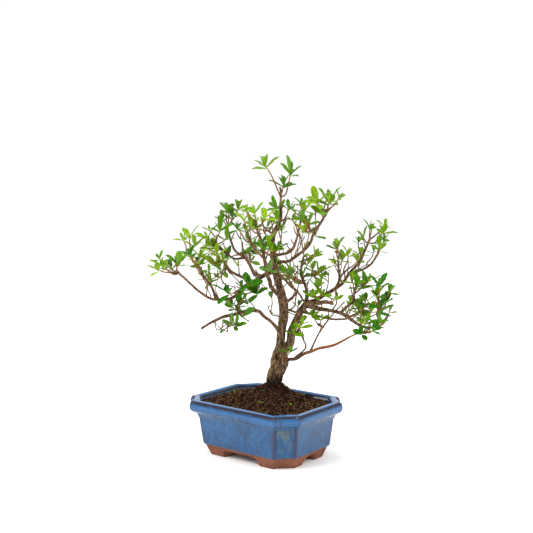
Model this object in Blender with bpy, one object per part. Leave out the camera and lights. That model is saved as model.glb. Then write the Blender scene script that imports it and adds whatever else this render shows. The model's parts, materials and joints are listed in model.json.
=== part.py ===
"""A rhododendron bonsai in a glazed clay tray, at its real size.

The model is built round the middle of the pot's underside: X runs along the pot's long side, Y along
its short side and Z up. The tree is described as its front shows it, so a place on it is given as
(across, away, up): to the right of someone who faces the front, away from them, and up from the table.
Sizes are in millimetres up to the point where a mesh is made, and MM turns them into metres.
"""

import math
import random
from collections import namedtuple

import bmesh
import bpy
import numpy as np
from mathutils import Matrix, Vector

MM = 0.001
GAP = 0.3                      # clearance between neighbouring pieces
WELD = 1e-7                    # in metres, for points that coincide
FINEST = 1.5e-6                # in metres: a fused mass must stay closed with nothing finer than this

# The pot
POT_LENGTH = 155.0
POT_WIDTH = 121.0
POT_HEIGHT = 63.2
RIM_CUT = (17.0, 20.0)         # how much of each side the cut corner takes, at the rim
FOOT_CUT = (14.7, 15.0)        # the same at the foot
FOOT_INSET = 17.5              # how far the foot stands inside the rim
LIP_BULGE = 1.2                # how far the rolled lip stands out beyond the rim
CORNER_STEP = 3.5              # how far the corner panel lies behind the line of its two edges
CORNER_REVEAL = 0.12           # share of the corner taken by the step at either end
FLOOR_TOP = 14.5
RECESS = 9.6                   # height of the hollow under the pot
FOOT_WALL = 8.0
ARCH_RISE = 8.8
ARCH_HALF_SPAN = {"long": 23.5, "short": 11.0}
# The curve at each end of an arch: how far inwards, and the share of the rise there.
PAW = ((0.0, 0.0), (0.4, 0.14), (1.4, 0.38), (3.8, 0.86), (5.6, 0.93), (7.4, 1.0))
DRAIN_RADIUS = 5.0
DRAIN_OFFSET = 26.0

# Soil and tree
SOIL_EDGE = 57.5               # where the soil meets the wall
SOIL_SEAT = 74.7               # top of the mound, under the trunk
SEAT_RADIUS = 15.0
TRUNK_FOOT = (9.0, 20.0)       # across, away
FRONT_TURN = math.radians(38.2)   # the tree's front, turned from the pot's long side
KNUCKLE = 0.22                 # sideways wander of a limb, as a share of its thickness

# Foliage
LEAF_LENGTH = (11.5, 16.5)
LEAF_WIDTH = 0.37              # share of the length
LEAF_THICKNESS = 0.07
LEAF_WIDEST = 0.58             # where along the leaf it is widest
LEAF_SPACING = 1.0             # between the roots of one rosette, along the twig
LEAF_TILT = (32.0, 78.0)       # from the twig's own direction, for the top leaf and the lowest
FUSE_TRIALS = 8                # a mass that does not fuse into one closed body grows again, differently
LEAVES_PER_ROSETTE = 5
GOLDEN_ANGLE = math.radians(137.5)
FEWEST_LEAVES = (5.0, 2.0)     # wanted of a rosette at the first try and at the last
ROSETTE_SPACING = (16.0, 8.0)  # between twig ends, at the first try and at the last
ATTEMPTS = 500
LEAF_SLACK = 1.35              # how far leaves may stand out of their mass's egg
STEM_THICKNESS = (1.9, 1.4)
TWIG_THICKNESS = (1.5, 1.9)    # a shoot swells towards the bud at its end

Limb = namedtuple("Limb", "parent thick route")
Mass = namedtuple("Mass", "limb along centre half rosettes")

# The trunk: height on the route is up, the last figure of each entry is the thickness there
TRUNK = (
    (9, 20, 70, 18.5), (9, 20, 76, 16.4), (12, 19, 87, 16.6), (16, 17, 100, 19.0), (17, 15, 112, 17.2),
    (17, 13, 123, 11.2), (18, 11, 136, 10.6), (21, 8, 160, 9.8), (20, 6, 172, 10.4), (18, 4, 184, 9.2),
    (12, 2, 206, 7.8), (8, 0, 232, 6.4), (9, -1, 250, 5.2), (16, -3, 265, 3.8), (17, -4, 287, 2.8),
)

# Each limb starts on its parent's centre line, at the point nearest the first one given here
LIMBS = {
    "right_stem": Limb("trunk", (8.4, 7.6), ((20, 15, 114), (27, 14, 124), (31, 13, 138), (34, 12, 149),
                                             (39, 11, 161), (47, 10, 171))),
    "low_left_limb": Limb("trunk", (4.4, 2.6), ((18, 11, 137), (6, 4, 150), (-8, -6, 164), (-20, -14, 165),
                                                (-37, -24, 163), (-54, -34, 158), (-70, -42, 150))),
    "left_limb": Limb("trunk", (4.6, 3.6), ((12, 2, 210), (-1, -6, 204), (-11, -11, 200), (-24, -20, 193))),
    "left_stem": Limb("trunk", (4.6, 2.6), ((19, 5, 176), (7, -14, 192), (1, -34, 217), (-3, -52, 241),
                                            (-8, -62, 257))),
    "upper_right_bough": Limb("trunk", (3.2, 2.2), ((10, 1, 219), (24, -8, 220), (43, -28, 235),
                                                    (52, -42, 253), (62, -47, 270))),
    "upper_back_bough": Limb("trunk", (3.2, 2.2), ((8, 0, 227), (21, 16, 226), (31, 36, 231), (37, 54, 243),
                                                   (41, 64, 258))),
    "whip": Limb("trunk", (4.0, 2.0), ((16, 17, 102), (34, 4, 108), (43, -2, 115), (60, -14, 123),
                                       (76, -28, 130), (98, -48, 146))),
    "young_whip": Limb("trunk", (3.2, 2.0), ((20, 6, 168), (31, -8, 180), (34, -14, 188), (28, -22, 194),
                                             (16, -34, 208), (7, -46, 226))),
    "right_limb": Limb("right_stem", (4.6, 1.8), ((46, 10, 169), (58, 7, 165), (69, 1, 165), (84, -8, 162),
                                                  (96, -16, 155), (114, -24, 148), (128, -28, 153),
                                                  (135, -30, 164))),
    "right_low_limb": Limb("right_stem", (3.0, 2.2), ((40, 11, 162), (56, 18, 156), (71, 30, 150),
                                                      (90, 44, 147))),
    "right_rise": Limb("right_stem", (4.4, 2.4), ((47, 10, 171), (66, 14, 179), (79, 18, 186), (89, 20, 193),
                                                  (96, 22, 204), (108, 22, 217), (116, 20, 236))),
    "centre_right_stem": Limb("right_stem", (3.6, 2.4), ((46, 10, 170), (47, 19, 181), (45, 32, 192),
                                                         (41, 46, 204), (44, 58, 216))),
    "left_sweep": Limb("left_limb", (3.2, 2.0), ((-23, -19, 194), (-35, -26, 183), (-44, -29, 181),
                                                 (-58, -33, 182), (-71, -37, 190), (-88, -41, 206))),
    "left_inner": Limb("left_limb", (2.6, 2.0), ((-13, -12, 199), (-27, -8, 203), (-38, -5, 209),
                                                 (-44, -3, 216))),
    "upper_left_limb": Limb("left_limb", (3.4, 2.2), ((-4, -8, 203), (-13, 6, 207), (-17, 20, 213),
                                                      (-24, 34, 221), (-36, 45, 229), (-43, 52, 247))),
    "left_riser": Limb("left_sweep", (2.4, 1.8), ((-53, -31, 182), (-60, -25, 196), (-70, -16, 208),
                                                  (-80, -8, 220))),
    "left_mid_bough": Limb("upper_left_limb", (2.4, 1.9), ((-24, 34, 221), (-36, 30, 220), (-45, 20, 228),
                                                           (-53, 12, 236))),
    "right_riser": Limb("right_limb", (2.6, 2.0), ((84, -8, 162), (90, -10, 169), (98, -13, 176),
                                                   (98, -18, 187))),
    "whip_upper": Limb("whip", (2.2, 1.8), ((50, -6, 119), (57, 2, 131), (63, 9, 140))),
    "right_mid_riser": Limb("right_rise", (2.6, 2.0), ((80, 18, 187), (85, 27, 196), (85, 36, 206),
                                                       (85, 43, 214))),
    "right_out_twig": Limb("right_rise", (2.4, 1.9), ((96, 22, 203), (108, 9, 209), (117, -1, 216),
                                                      (123, -9, 226))),
}

# Each mass keeps to an egg-shaped space; it grows from the tip of its limb (along 1.0) or from its side
MASSES = {
    "top_crown": Mass("trunk", 1.0, (15, -5, 319), (27, 24, 21), 5),
    "upper_right_tip": Mass("upper_right_bough", 1.0, (64, -50, 291), (21, 20, 17), 4),
    "upper_back": Mass("upper_back_bough", 1.0, (44, 68, 277), (15, 18, 15), 3),
    "leader_side": Mass("trunk", 0.88, (26, 22, 271), (12, 14, 14), 2),
    "mid_right_crown": Mass("upper_right_bough", 0.72, (47, -20, 260), (13, 14, 14), 3),
    "top_left_back": Mass("upper_left_limb", 1.0, (-40, 57, 271), (17, 18, 16), 4),
    "top_left_front": Mass("left_stem", 0.62, (-24, -30, 264), (12, 15, 16), 3),
    "front_top": Mass("left_stem", 1.0, (-9, -72, 277), (14, 16, 15), 3),
    "centre_top": Mass("trunk", 0.82, (-4, 22, 262), (12, 13, 12), 2),
    "left_upper": Mass("left_mid_bough", 1.0, (-55, 6, 255), (12, 13, 12), 3),
    "left_outer": Mass("left_riser", 1.0, (-85, -2, 243), (12, 14, 14), 3),
    "left_mid_back": Mass("left_mid_bough", 0.7, (-66, 34, 240), (13, 14, 12), 3),
    "left_mid": Mass("left_riser", 0.72, (-78, -32, 229), (11, 13, 11), 3),
    "left_cluster": Mass("left_inner", 1.0, (-58, 0, 222), (13, 14, 14), 4),
    "far_left": Mass("left_sweep", 1.0, (-104, -46, 221), (20, 18, 13), 5),
    "inner_left": Mass("upper_left_limb", 0.5, (-10, 46, 231), (13, 14, 13), 3),
    "centre_front": Mass("young_whip", 1.0, (5, -58, 240), (14, 14, 13), 4),
    "left_low": Mass("left_limb", 0.55, (-14, -36, 190), (14, 14, 13), 3),
    "left_low_inner": Mass("low_left_limb", 0.52, (-32, -16, 177), (12, 12, 11), 3),
    "left_low_outer": Mass("low_left_limb", 0.62, (-42, -34, 150), (14, 12, 9), 2),
    "fork_sprout": Mass("right_stem", 0.45, (40, -8, 146), (11, 11, 11), 2),
    "trunk_sprout": Mass("trunk", 0.17, (23, -6, 123), (10, 9, 10), 1),
    "centre_right": Mass("centre_right_stem", 0.45, (28, 32, 203), (12, 13, 11), 3),
    "right_mid_back": Mass("centre_right_stem", 1.0, (52, 68, 226), (13, 16, 13), 3),
    "right_mid": Mass("centre_right_stem", 0.6, (62, 38, 205), (12, 13, 11), 3),
    "right_inner": Mass("right_rise", 0.14, (54, -6, 184), (11, 12, 9), 2),
    "right_upper_back": Mass("right_mid_riser", 1.0, (87, 54, 233), (14, 17, 18), 4),
    "right_upper": Mass("right_rise", 0.5, (100, 42, 216), (12, 12, 12), 3),
    "right_top": Mass("right_rise", 1.0, (126, 18, 256), (24, 20, 16), 5),
    "right_out": Mass("right_out_twig", 1.0, (126, -16, 238), (12, 13, 11), 3),
    "right_cluster_top": Mass("right_riser", 1.0, (103, -23, 201), (14, 15, 11), 3),
    "right_cluster_mid": Mass("right_limb", 0.86, (126, -40, 186), (13, 15, 12), 3),
    "right_cluster_low": Mass("right_limb", 0.66, (111, -6, 170), (16, 15, 12), 4),
    "right_cluster_bottom": Mass("whip", 1.0, (114, -57, 151), (16, 15, 12), 4),
    "right_back": Mass("right_low_limb", 1.0, (107, 52, 158), (17, 18, 14), 4),
    "whip_leaves": Mass("whip_upper", 1.0, (58, 12, 155), (13, 13, 12), 2),
}


def clear_scene():
    """Remove what the scene holds, so that the file can be run again."""
    for item in list(bpy.data.objects):
        bpy.data.objects.remove(item, do_unlink=True)
    for group in list(bpy.data.collections):
        bpy.data.collections.remove(group)


def new_collection(name):
    group = bpy.data.collections.new(name)
    bpy.context.scene.collection.children.link(group)
    return group


def plain_material(name, colour, roughness, metallic=0.0):
    """A Principled material with one base colour."""
    material = bpy.data.materials.new(name)
    material.use_nodes = True
    shader = material.node_tree.nodes["Principled BSDF"]
    shader.inputs["Base Color"].default_value = (*colour, 1.0)
    shader.inputs["Roughness"].default_value = roughness
    shader.inputs["Metallic"].default_value = metallic
    return material


def object_from_bmesh(bm, name, group, material=None):
    mesh = bpy.data.meshes.new(name)
    bm.to_mesh(mesh)
    bm.free()
    item = bpy.data.objects.new(name, mesh)
    group.objects.link(item)
    if material:
        mesh.materials.append(material)
    return item


def hide_cutter(item):
    """Mark an object as one that only shapes others."""
    item.hide_render = True
    item.display_type = "WIRE"


def subtract(item, cutter):
    cut = item.modifiers.new("cut_by_" + cutter.name, "BOOLEAN")
    cut.operation = "DIFFERENCE"
    cut.object = cutter


# The pot and its soil

def pot_outline(inset, step):
    """The pot's plan, counter-clockwise: a rectangle whose cut corners hold a panel set back by `step`."""
    half_length = POT_LENGTH / 2 - inset
    half_width = POT_WIDTH / 2 - inset
    share = inset / FOOT_INSET
    cut_x = RIM_CUT[0] + (FOOT_CUT[0] - RIM_CUT[0]) * share
    cut_y = RIM_CUT[1] + (FOOT_CUT[1] - RIM_CUT[1]) * share
    long_end = Vector((half_length - cut_x, -half_width))
    short_end = Vector((half_length, cut_y - half_width))
    along = short_end - long_end
    inward = Vector((-along.y, along.x)).normalized() * step
    corner = [long_end, long_end + along * CORNER_REVEAL + inward,
              short_end - along * CORNER_REVEAL + inward, short_end]
    outline = list(corner)
    outline += [Vector((p.x, -p.y)) for p in reversed(corner)]
    outline += [Vector((-p.x, -p.y)) for p in corner]
    outline += [Vector((-p.x, p.y)) for p in reversed(corner)]
    return outline


def loft(rings, name, group, material=None):
    """Skin closed rings of equal length, given bottom first, and cap the first and the last."""
    bm = bmesh.new()
    made = [[bm.verts.new(Vector(p) * MM) for p in ring] for ring in rings]
    count = len(made[0])
    for lower, upper in zip(made, made[1:]):
        for i in range(count):
            j = (i + 1) % count
            bm.faces.new((lower[i], lower[j], upper[j], upper[i]))
    bm.faces.new(list(reversed(made[0])))
    bm.faces.new(made[-1])
    bmesh.ops.recalc_face_normals(bm, faces=bm.faces)
    return object_from_bmesh(bm, name, group, material)


def level_ring(height, inset, step):
    return [(p.x, p.y, height) for p in pot_outline(inset, step)]


def arch_cutter(name, half_span, turn, group):
    """A bar with a bracket-shaped top that opens two facing sides of the foot ring."""
    half = [(half_span, -5.0)] + [(half_span - inwards, share * ARCH_RISE) for inwards, share in PAW]
    outline = half + [(-x, z) for x, z in reversed(half)]
    bm = bmesh.new()
    reach = POT_LENGTH * 0.75
    face = bm.faces.new([bm.verts.new(Vector((x, -reach, z)) * MM) for x, z in outline])
    pulled = bmesh.ops.extrude_face_region(bm, geom=[face], use_keep_orig=True)
    moved = [v for v in pulled["geom"] if isinstance(v, bmesh.types.BMVert)]
    bmesh.ops.translate(bm, verts=moved, vec=Vector((0, 2 * reach * MM, 0)))
    bmesh.ops.rotate(bm, verts=bm.verts, cent=(0, 0, 0), matrix=Matrix.Rotation(turn, 3, "Z"))
    bmesh.ops.recalc_face_normals(bm, faces=bm.faces)
    cutter = object_from_bmesh(bm, name, group)
    hide_cutter(cutter)
    return cutter


def make_pot(parts, cutters):
    """The glazed tray: foot ring, tapering body, cove, rolled rim, inner wall and floor, as one body."""
    glaze = plain_material("blue_glaze", (0.06, 0.16, 0.38), 0.18)
    profile = (
        (0.0, FOOT_INSET, 2.6), (1.5, 16.6, 2.6), (8.0, 14.0, 2.8), (12.6, 12.2, 3.0), (13.4, 11.1, 3.0),
        (15.0, 10.6, 3.0), (44.0, 7.2, CORNER_STEP), (49.0, 5.1, CORNER_STEP), (51.2, 2.6, CORNER_STEP),
        (52.8, 0.0, CORNER_STEP), (55.4, -LIP_BULGE * 0.8, CORNER_STEP), (57.6, -LIP_BULGE, CORNER_STEP),
        (60.4, -LIP_BULGE * 0.4, CORNER_STEP), (62.3, 0.9, CORNER_STEP),
        (POT_HEIGHT, 2.8, 3.0), (POT_HEIGHT, 6.2, 1.6), (62.3, 8.2, 0.6), (60.0, 9.4, 0.0), (55.0, 11.5, 0.0),
        (FLOOR_TOP, 18.0, 0.0),
    )
    pot = loft([level_ring(*row) for row in profile], "pot", parts, glaze)
    hollow_inset = FOOT_INSET + FOOT_WALL
    hollow = loft([level_ring(-5.0, hollow_inset, 0.0), level_ring(RECESS, hollow_inset, 0.0)],
                  "foot_hollow", cutters)
    hide_cutter(hollow)
    subtract(pot, hollow)
    subtract(pot, arch_cutter("long_side_arch", ARCH_HALF_SPAN["long"], 0.0, cutters))
    subtract(pot, arch_cutter("short_side_arch", ARCH_HALF_SPAN["short"], math.pi / 2, cutters))
    for side in (-1, 1):
        bm = bmesh.new()
        bmesh.ops.create_cone(bm, cap_ends=True, segments=16, radius1=DRAIN_RADIUS * MM,
                              radius2=DRAIN_RADIUS * MM, depth=FLOOR_TOP * 2 * MM)
        drain = object_from_bmesh(bm, "drain_left" if side < 0 else "drain_right", cutters)
        drain.location = Vector((side * DRAIN_OFFSET, 0, FLOOR_TOP)) * MM
        hide_cutter(drain)
        subtract(pot, drain)
    return pot


def make_soil(parts):
    """The soil that fills the pot: level at the wall and drawn up into a mound under the trunk."""
    earth = plain_material("potting_soil", (0.045, 0.027, 0.018), 0.95)
    foot = Vector(front_to_pot(*TRUNK_FOOT, 0))
    edge = level_ring(SOIL_EDGE, 10.9, 0.0)
    seat = []
    for x, y, _ in edge:
        bearing = math.atan2(y - foot.y, x - foot.x)
        seat.append((foot.x + SEAT_RADIUS * math.cos(bearing), foot.y + SEAT_RADIUS * math.sin(bearing)))
    rings = [level_ring(FLOOR_TOP + GAP, 18.4, 0.0), level_ring(55.0, 11.9, 0.0), edge]
    steps = 4
    for k in range(1, steps + 1):
        share = k / steps
        height = SOIL_EDGE + (SOIL_SEAT - SOIL_EDGE) * share ** 1.7
        rings.append([(x + (sx - x) * share, y + (sy - y) * share, height)
                      for (x, y, _), (sx, sy) in zip(edge, seat)])
    return loft(rings, "soil", parts, earth)


# The limbs

def front_to_pot(across, away, up):
    """Turn a place seen from the tree's front into the pot's own X, Y and Z."""
    c, s = math.cos(FRONT_TURN), math.sin(FRONT_TURN)
    return (across * c - away * s, across * s + away * c, up)


def smooth_route(points, spacing):
    """Places about `spacing` apart on a smooth curve through the points (Catmull and Rom's rule)."""
    p = np.array(points, dtype=float)
    p = np.vstack((2 * p[0] - p[1], p, 2 * p[-1] - p[-2]))
    route = [p[1]]
    for a, b, c, d in zip(p, p[1:], p[2:], p[3:]):
        count = max(1, round(np.linalg.norm(c[:3] - b[:3]) / spacing))
        for t in np.arange(1, count + 1) / count:
            route.append(0.5 * (2 * b + (c - a) * t + (2 * a - 5 * b + 4 * c - d) * t ** 2
                                + (3 * b - a - 3 * c + d) * t ** 3))
    return np.array(route)


def wander(route, thickness, rng):
    """Push the inner places of a route a little sideways, as old azalea wood grows."""
    for i in range(1, len(route) - 1):
        push = np.array([rng.uniform(-1, 1) for _ in range(3)])
        along = route[i + 1, :3] - route[i - 1, :3]
        along /= np.linalg.norm(along)
        push -= along * push.dot(along)
        route[i, :3] += push * thickness[i] * KNUCKLE
    return route


def limb_course(name, courses):
    """A limb's centre line and radii, as rows of across, away, up and radius."""
    rng = random.Random(name)
    if name == "trunk":
        return smooth_route(TRUNK, 12.0) * (1, 1, 1, 0.5)
    limb = LIMBS[name]
    parent = dense(courses[limb.parent])
    near = np.argmin(np.linalg.norm(parent[:, :3] - limb.route[0], axis=1))
    route = smooth_route((tuple(parent[near, :3]),) + limb.route[1:], 12.0)
    share = np.linspace(0, 1, len(route))
    thickness = limb.thick[0] + (limb.thick[1] - limb.thick[0]) * share
    route = wander(route, thickness, rng)
    return np.column_stack((route, thickness / 2))


def tube(course, sides, name, group, material=None, swell=0.0):
    """A round tapering limb: a bevelled curve along the course, made a mesh with welded caps."""
    curve = bpy.data.curves.new(name, "CURVE")
    curve.dimensions = "3D"
    curve.bevel_depth = MM
    curve.bevel_resolution = (sides - 4) // 2
    curve.use_fill_caps = True
    spline = curve.splines.new("POLY")
    spline.points.add(len(course) - 1)
    for point, (across, away, up, radius) in zip(spline.points, course):
        point.co = (*(Vector(front_to_pot(across, away, up)) * MM), 1.0)
        point.radius = radius + swell
    guide = bpy.data.objects.new(name + "_curve", curve)
    bpy.context.scene.collection.objects.link(guide)
    depsgraph = bpy.context.evaluated_depsgraph_get()
    mesh = bpy.data.meshes.new_from_object(guide.evaluated_get(depsgraph))
    bm = bmesh.new()
    bm.from_mesh(mesh)
    bmesh.ops.remove_doubles(bm, verts=bm.verts, dist=WELD)
    bmesh.ops.recalc_face_normals(bm, faces=bm.faces)
    bpy.data.objects.remove(guide)
    bpy.data.meshes.remove(mesh)
    return object_from_bmesh(bm, name, group, material)


def make_trunk(course, parts, bark):
    """The trunk and its leader, cut flat where it stands on the soil."""
    trunk = tube(course, 12, "trunk", parts, bark)
    bm = bmesh.new()
    bm.from_mesh(trunk.data)
    cut = bmesh.ops.bisect_plane(bm, geom=bm.verts[:] + bm.edges[:] + bm.faces[:], dist=WELD,
                                 plane_co=(0, 0, (SOIL_SEAT + GAP) * MM), plane_no=(0, 0, 1), clear_inner=True)
    rim = [item for item in cut["geom_cut"] if isinstance(item, bmesh.types.BMEdge)]
    bmesh.ops.edgeloop_fill(bm, edges=rim)
    bmesh.ops.recalc_face_normals(bm, faces=bm.faces)
    bm.to_mesh(trunk.data)
    bm.free()
    return trunk


def touches(course, other):
    """Whether two limbs come closer than the clearance."""
    rows, others = dense(course), dense(other)
    distance = np.linalg.norm(rows[:, None, :3] - others[None, :, :3], axis=2)
    return bool(np.any(distance < rows[:, None, 3] + others[None, :, 3] + GAP))


def make_limbs(parts, cutters):
    """All limbs, each cut clear of the one it leaves and of those that leave beside it."""
    bark = plain_material("old_bark", (0.13, 0.085, 0.055), 0.9)
    courses = {"trunk": limb_course("trunk", {})}
    make_trunk(courses["trunk"], parts, bark)
    swollen = {}
    for name, limb in LIMBS.items():
        courses[name] = limb_course(name, courses)
        item = tube(courses[name], 6, name, parts, bark)
        beside = [other for other in LIMBS if other in courses and other != name
                  and LIMBS[other].parent == limb.parent and touches(courses[name], courses[other])]
        for other in [limb.parent] + beside:
            if other not in swollen:
                sides = 12 if other == "trunk" else 6
                swollen[other] = tube(courses[other], sides, "round_" + other, cutters, swell=GAP)
                hide_cutter(swollen[other])
            subtract(item, swollen[other])
    return courses


# The foliage

def unit(v):
    return v / np.linalg.norm(v)


def stem_course(mass, courses):
    """A mass's stem, from 0.3 mm off its limb to the middle of the mass."""
    course = courses[mass.limb]
    last = len(course) - 1
    centre = np.array(mass.centre, dtype=float)
    if mass.along >= 1.0:
        heading = unit(course[last, :3] - course[last - 1, :3])
        start = course[last, :3] + heading * GAP
    else:
        place = max(1, round(mass.along * last))
        along = unit(course[place + 1, :3] - course[place - 1, :3])
        heading = centre - course[place, :3]
        heading = unit(heading - along * heading.dot(along))
        start = course[place, :3] + heading * (course[place, 3] + GAP)
    reach = np.linalg.norm(centre - start)
    bend = start + heading * reach * 0.42
    end = start + (centre - start) * 0.93
    route = smooth_route((start, bend * 0.6 + (start + end) * 0.2, end), 14.0)
    radii = np.linspace(STEM_THICKNESS[0], STEM_THICKNESS[1], len(route)) / 2
    return np.column_stack((route, radii))


def dense(course, spacing=0.8):
    """The same course with a row every `spacing`, for measuring distances."""
    rows = [course[:1]]
    for a, b in zip(course, course[1:]):
        count = max(1, math.ceil(np.linalg.norm(b[:3] - a[:3]) / spacing))
        rows.append(a + (b - a) * (np.arange(1, count + 1) / count)[:, None])
    return np.vstack(rows)


def keeps_clear(points, radius, obstacles):
    """Whether balls of this radius at the points miss every row of the obstacles."""
    distance = np.linalg.norm(points[:, None, :] - obstacles[None, :, :3], axis=2)
    return bool(np.all(distance > obstacles[:, 3] + radius + GAP))


def dividing_planes(name):
    """Planes between a mass and each other one, so that their spaces never overlap."""
    centre, half = np.array(MASSES[name].centre, float), np.array(MASSES[name].half, float)
    planes = []
    for other, mass in MASSES.items():
        if other == name:
            continue
        offset = np.array(mass.centre, float) - centre
        distance = np.linalg.norm(offset)
        normal = offset / distance
        mine = np.linalg.norm(half * normal)
        theirs = np.linalg.norm(np.array(mass.half, float) * normal)
        planes.append((*normal, normal.dot(centre) + distance * mine / (mine + theirs) - GAP / 2))
    return np.array(planes)


def inside(points, planes, centre, half, slack):
    """Whether all points lie in the mass's space, which is `slack` times its egg, cut by the planes."""
    if np.any(points @ planes[:, :3].T > planes[:, 3]):
        return False
    return bool(np.all(np.sum(((points - centre) / half) ** 2, axis=1) < slack ** 2))


def leaf_mesh():
    """A blade of eight faces, one long, standing on its root: a four-sided ball drawn out and flattened."""
    bm = bmesh.new()
    bmesh.ops.create_uvsphere(bm, u_segments=4, v_segments=2, radius=0.5)
    for vert in bm.verts:
        if abs(vert.co.z) < 0.1:
            vert.co.z = LEAF_WIDEST
            vert.co.x *= LEAF_WIDTH
            vert.co.y *= LEAF_THICKNESS
        else:
            vert.co.z += 0.5
    mesh = bpy.data.meshes.new("leaf")
    bm.to_mesh(mesh)
    bm.free()
    return mesh


def prism(course, sides, name, group):
    """A thin stem with few sides: a triangle pushed along the course, in the pot's frame."""
    places = [Vector(front_to_pot(*row[:3])) for row in course]
    rings = []
    for i, place in enumerate(places):
        ahead = (places[min(i + 1, len(places) - 1)] - places[max(i - 1, 0)]).normalized()
        side = ahead.orthogonal().normalized() if i == 0 else (side - ahead * side.dot(ahead)).normalized()
        lift = ahead.cross(side)
        rings.append([place + (side * math.cos(2 * math.pi * k / sides)
                               + lift * math.sin(2 * math.pi * k / sides)) * course[i, 3]
                      for k in range(sides)])
    return loft(rings, name, group)


def rosette_leaves(tip, below, axis, rng):
    """Root, direction, upper side and length of each leaf, spiralling down from a twig's end."""
    side = unit(np.cross(axis, (0.3, 0.9, 0.2)))
    lift = np.cross(axis, side)
    twig = unit(below - tip)
    turn = rng.uniform(0, 2 * math.pi)
    for k in range(LEAVES_PER_ROSETTE):
        turn += GOLDEN_ANGLE
        tilt = math.radians(LEAF_TILT[0] + (LEAF_TILT[1] - LEAF_TILT[0]) * k / LEAVES_PER_ROSETTE
                            + rng.uniform(-8, 8))
        out = side * math.cos(turn) + lift * math.sin(turn)
        direction = axis * math.cos(tilt) + out * math.sin(tilt)
        upper = axis * math.sin(tilt) - out * math.cos(tilt)
        root = tip + twig * LEAF_SPACING * (k + 0.6)
        yield root, direction, upper, rng.uniform(*LEAF_LENGTH)


def plan_mass(name, trial, stems, obstacles):
    """Twigs and leaves of one mass by a seeded rule, without those that leave its space or touch wood."""
    mass = MASSES[name]
    rng = random.Random("%s %d" % (name, trial))
    centre, half = np.array(mass.centre, float), np.array(mass.half, float)
    planes = dividing_planes(name)
    stem = stems[name]
    others = np.vstack([obstacles] + [dense(course) for other, course in stems.items() if other != name])
    others = others[np.linalg.norm(others[:, :3] - centre, axis=1) < half.max() * 2.5]
    twigs, leaves, tips = [], [], []
    for attempt in range(ATTEMPTS):
        if len(tips) == mass.rosettes:
            break
        eager = attempt / ATTEMPTS
        turn = GOLDEN_ANGLE * attempt + rng.uniform(-0.4, 0.4)
        rise = rng.uniform(-0.5, 0.95)
        level = math.sqrt(1 - rise ** 2)
        out = np.array((math.cos(turn) * level, math.sin(turn) * level, rise))
        tip = centre + half * out * rng.uniform(0.35, 0.82)
        apart = ROSETTE_SPACING[0] + (ROSETTE_SPACING[1] - ROSETTE_SPACING[0]) * eager
        if any(np.linalg.norm(tip - other) < apart for other in tips):
            continue
        root = stem[-1, :3] + (stem[-2, :3] - stem[-1, :3]) * (0.12 if not tips else rng.uniform(0.15, 0.8))
        course = np.column_stack((np.array((root, tip)), np.array(TWIG_THICKNESS) / 2))
        points = dense(course)[:, :3]
        if not inside(points, planes, centre, half, 1.1) or (
                len(others) and not keeps_clear(points, TWIG_THICKNESS[1] / 2, others)):
            continue
        axis = unit(unit(tip - root) + np.array((0, 0, 0.5)))
        grown = []
        for leaf in rosette_leaves(tip, root, axis, rng):
            start, direction, upper, length = leaf
            across = np.cross(direction, upper)
            line = start + direction * length * np.linspace(0.2, 1, 7)[:, None]
            edge = start + direction * length * LEAF_WIDEST
            rim = np.array((edge + across * length * LEAF_WIDTH / 2, edge - across * length * LEAF_WIDTH / 2))
            if not inside(np.vstack((line, rim)), planes, centre, half, LEAF_SLACK):
                continue
            if len(others) and not keeps_clear(line, length * LEAF_WIDTH / 2, others):
                continue
            grown.append(leaf)
        if len(grown) < FEWEST_LEAVES[0] + (FEWEST_LEAVES[1] - FEWEST_LEAVES[0]) * eager:
            continue
        tips.append(tip)
        twigs.append(course)
        leaves += grown
    return twigs, leaves


def join_mass(name, stem, twigs, leaves, blade, parts):
    """One body of the stem, its twigs and their leaves, by a single union on a collection."""
    pieces = new_collection(name + "_pieces")
    body = prism(stem, 3, name, parts)
    for i, course in enumerate(twigs):
        prism(course, 3, "%s_twig_%d" % (name, i), pieces)
    for i, (root, direction, upper, length) in enumerate(leaves):
        item = bpy.data.objects.new("%s_leaf_%d" % (name, i), blade)
        frame = Matrix([front_to_pot(*np.cross(upper, direction)), front_to_pot(*upper),
                        front_to_pot(*direction)]).transposed().to_4x4()
        place = Matrix.Translation(Vector(front_to_pot(*root)) * MM)
        item.matrix_world = place @ frame @ Matrix.Scale(length * MM, 4)
        pieces.objects.link(item)
    fuse = body.modifiers.new("fuse", "BOOLEAN")
    fuse.operation = "UNION"
    fuse.operand_type = "COLLECTION"
    fuse.collection = pieces
    depsgraph = bpy.context.evaluated_depsgraph_get()
    fused = bpy.data.meshes.new_from_object(body.evaluated_get(depsgraph))
    for item in list(pieces.objects):
        bpy.data.objects.remove(item)
    bpy.data.collections.remove(pieces)
    body.modifiers.remove(fuse)
    if keep_main_body(fused):
        body.data = fused
        body.data.name = name
        return body
    bpy.data.objects.remove(body)
    return None


def shell_of(vert):
    """All points that hang together with this one."""
    shell, border = {vert}, [vert]
    while border:
        place = border.pop()
        for link in place.link_edges:
            other = link.other_vert(place)
            if other not in shell:
                shell.add(other)
                border.append(other)
    return shell


def keep_main_body(mesh):
    """Leave the largest shell of a mesh, and say whether it is closed and stays so when welded."""
    bm = bmesh.new()
    bm.from_mesh(mesh)
    left, shells = set(bm.verts), []
    while left:
        shells.append(shell_of(next(iter(left))))
        left -= shells[-1]
    shells.sort(key=len)
    bmesh.ops.delete(bm, geom=[vert for shell in shells[:-1] for vert in shell], context="VERTS")
    bm.to_mesh(mesh)
    closed = len(bm.faces) > 0 and all(edge.is_manifold for edge in bm.edges)
    bmesh.ops.remove_doubles(bm, verts=bm.verts, dist=FINEST)
    bmesh.ops.dissolve_degenerate(bm, edges=bm.edges, dist=FINEST)
    closed = closed and all(edge.is_manifold for edge in bm.edges)
    bm.free()
    return closed


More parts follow.
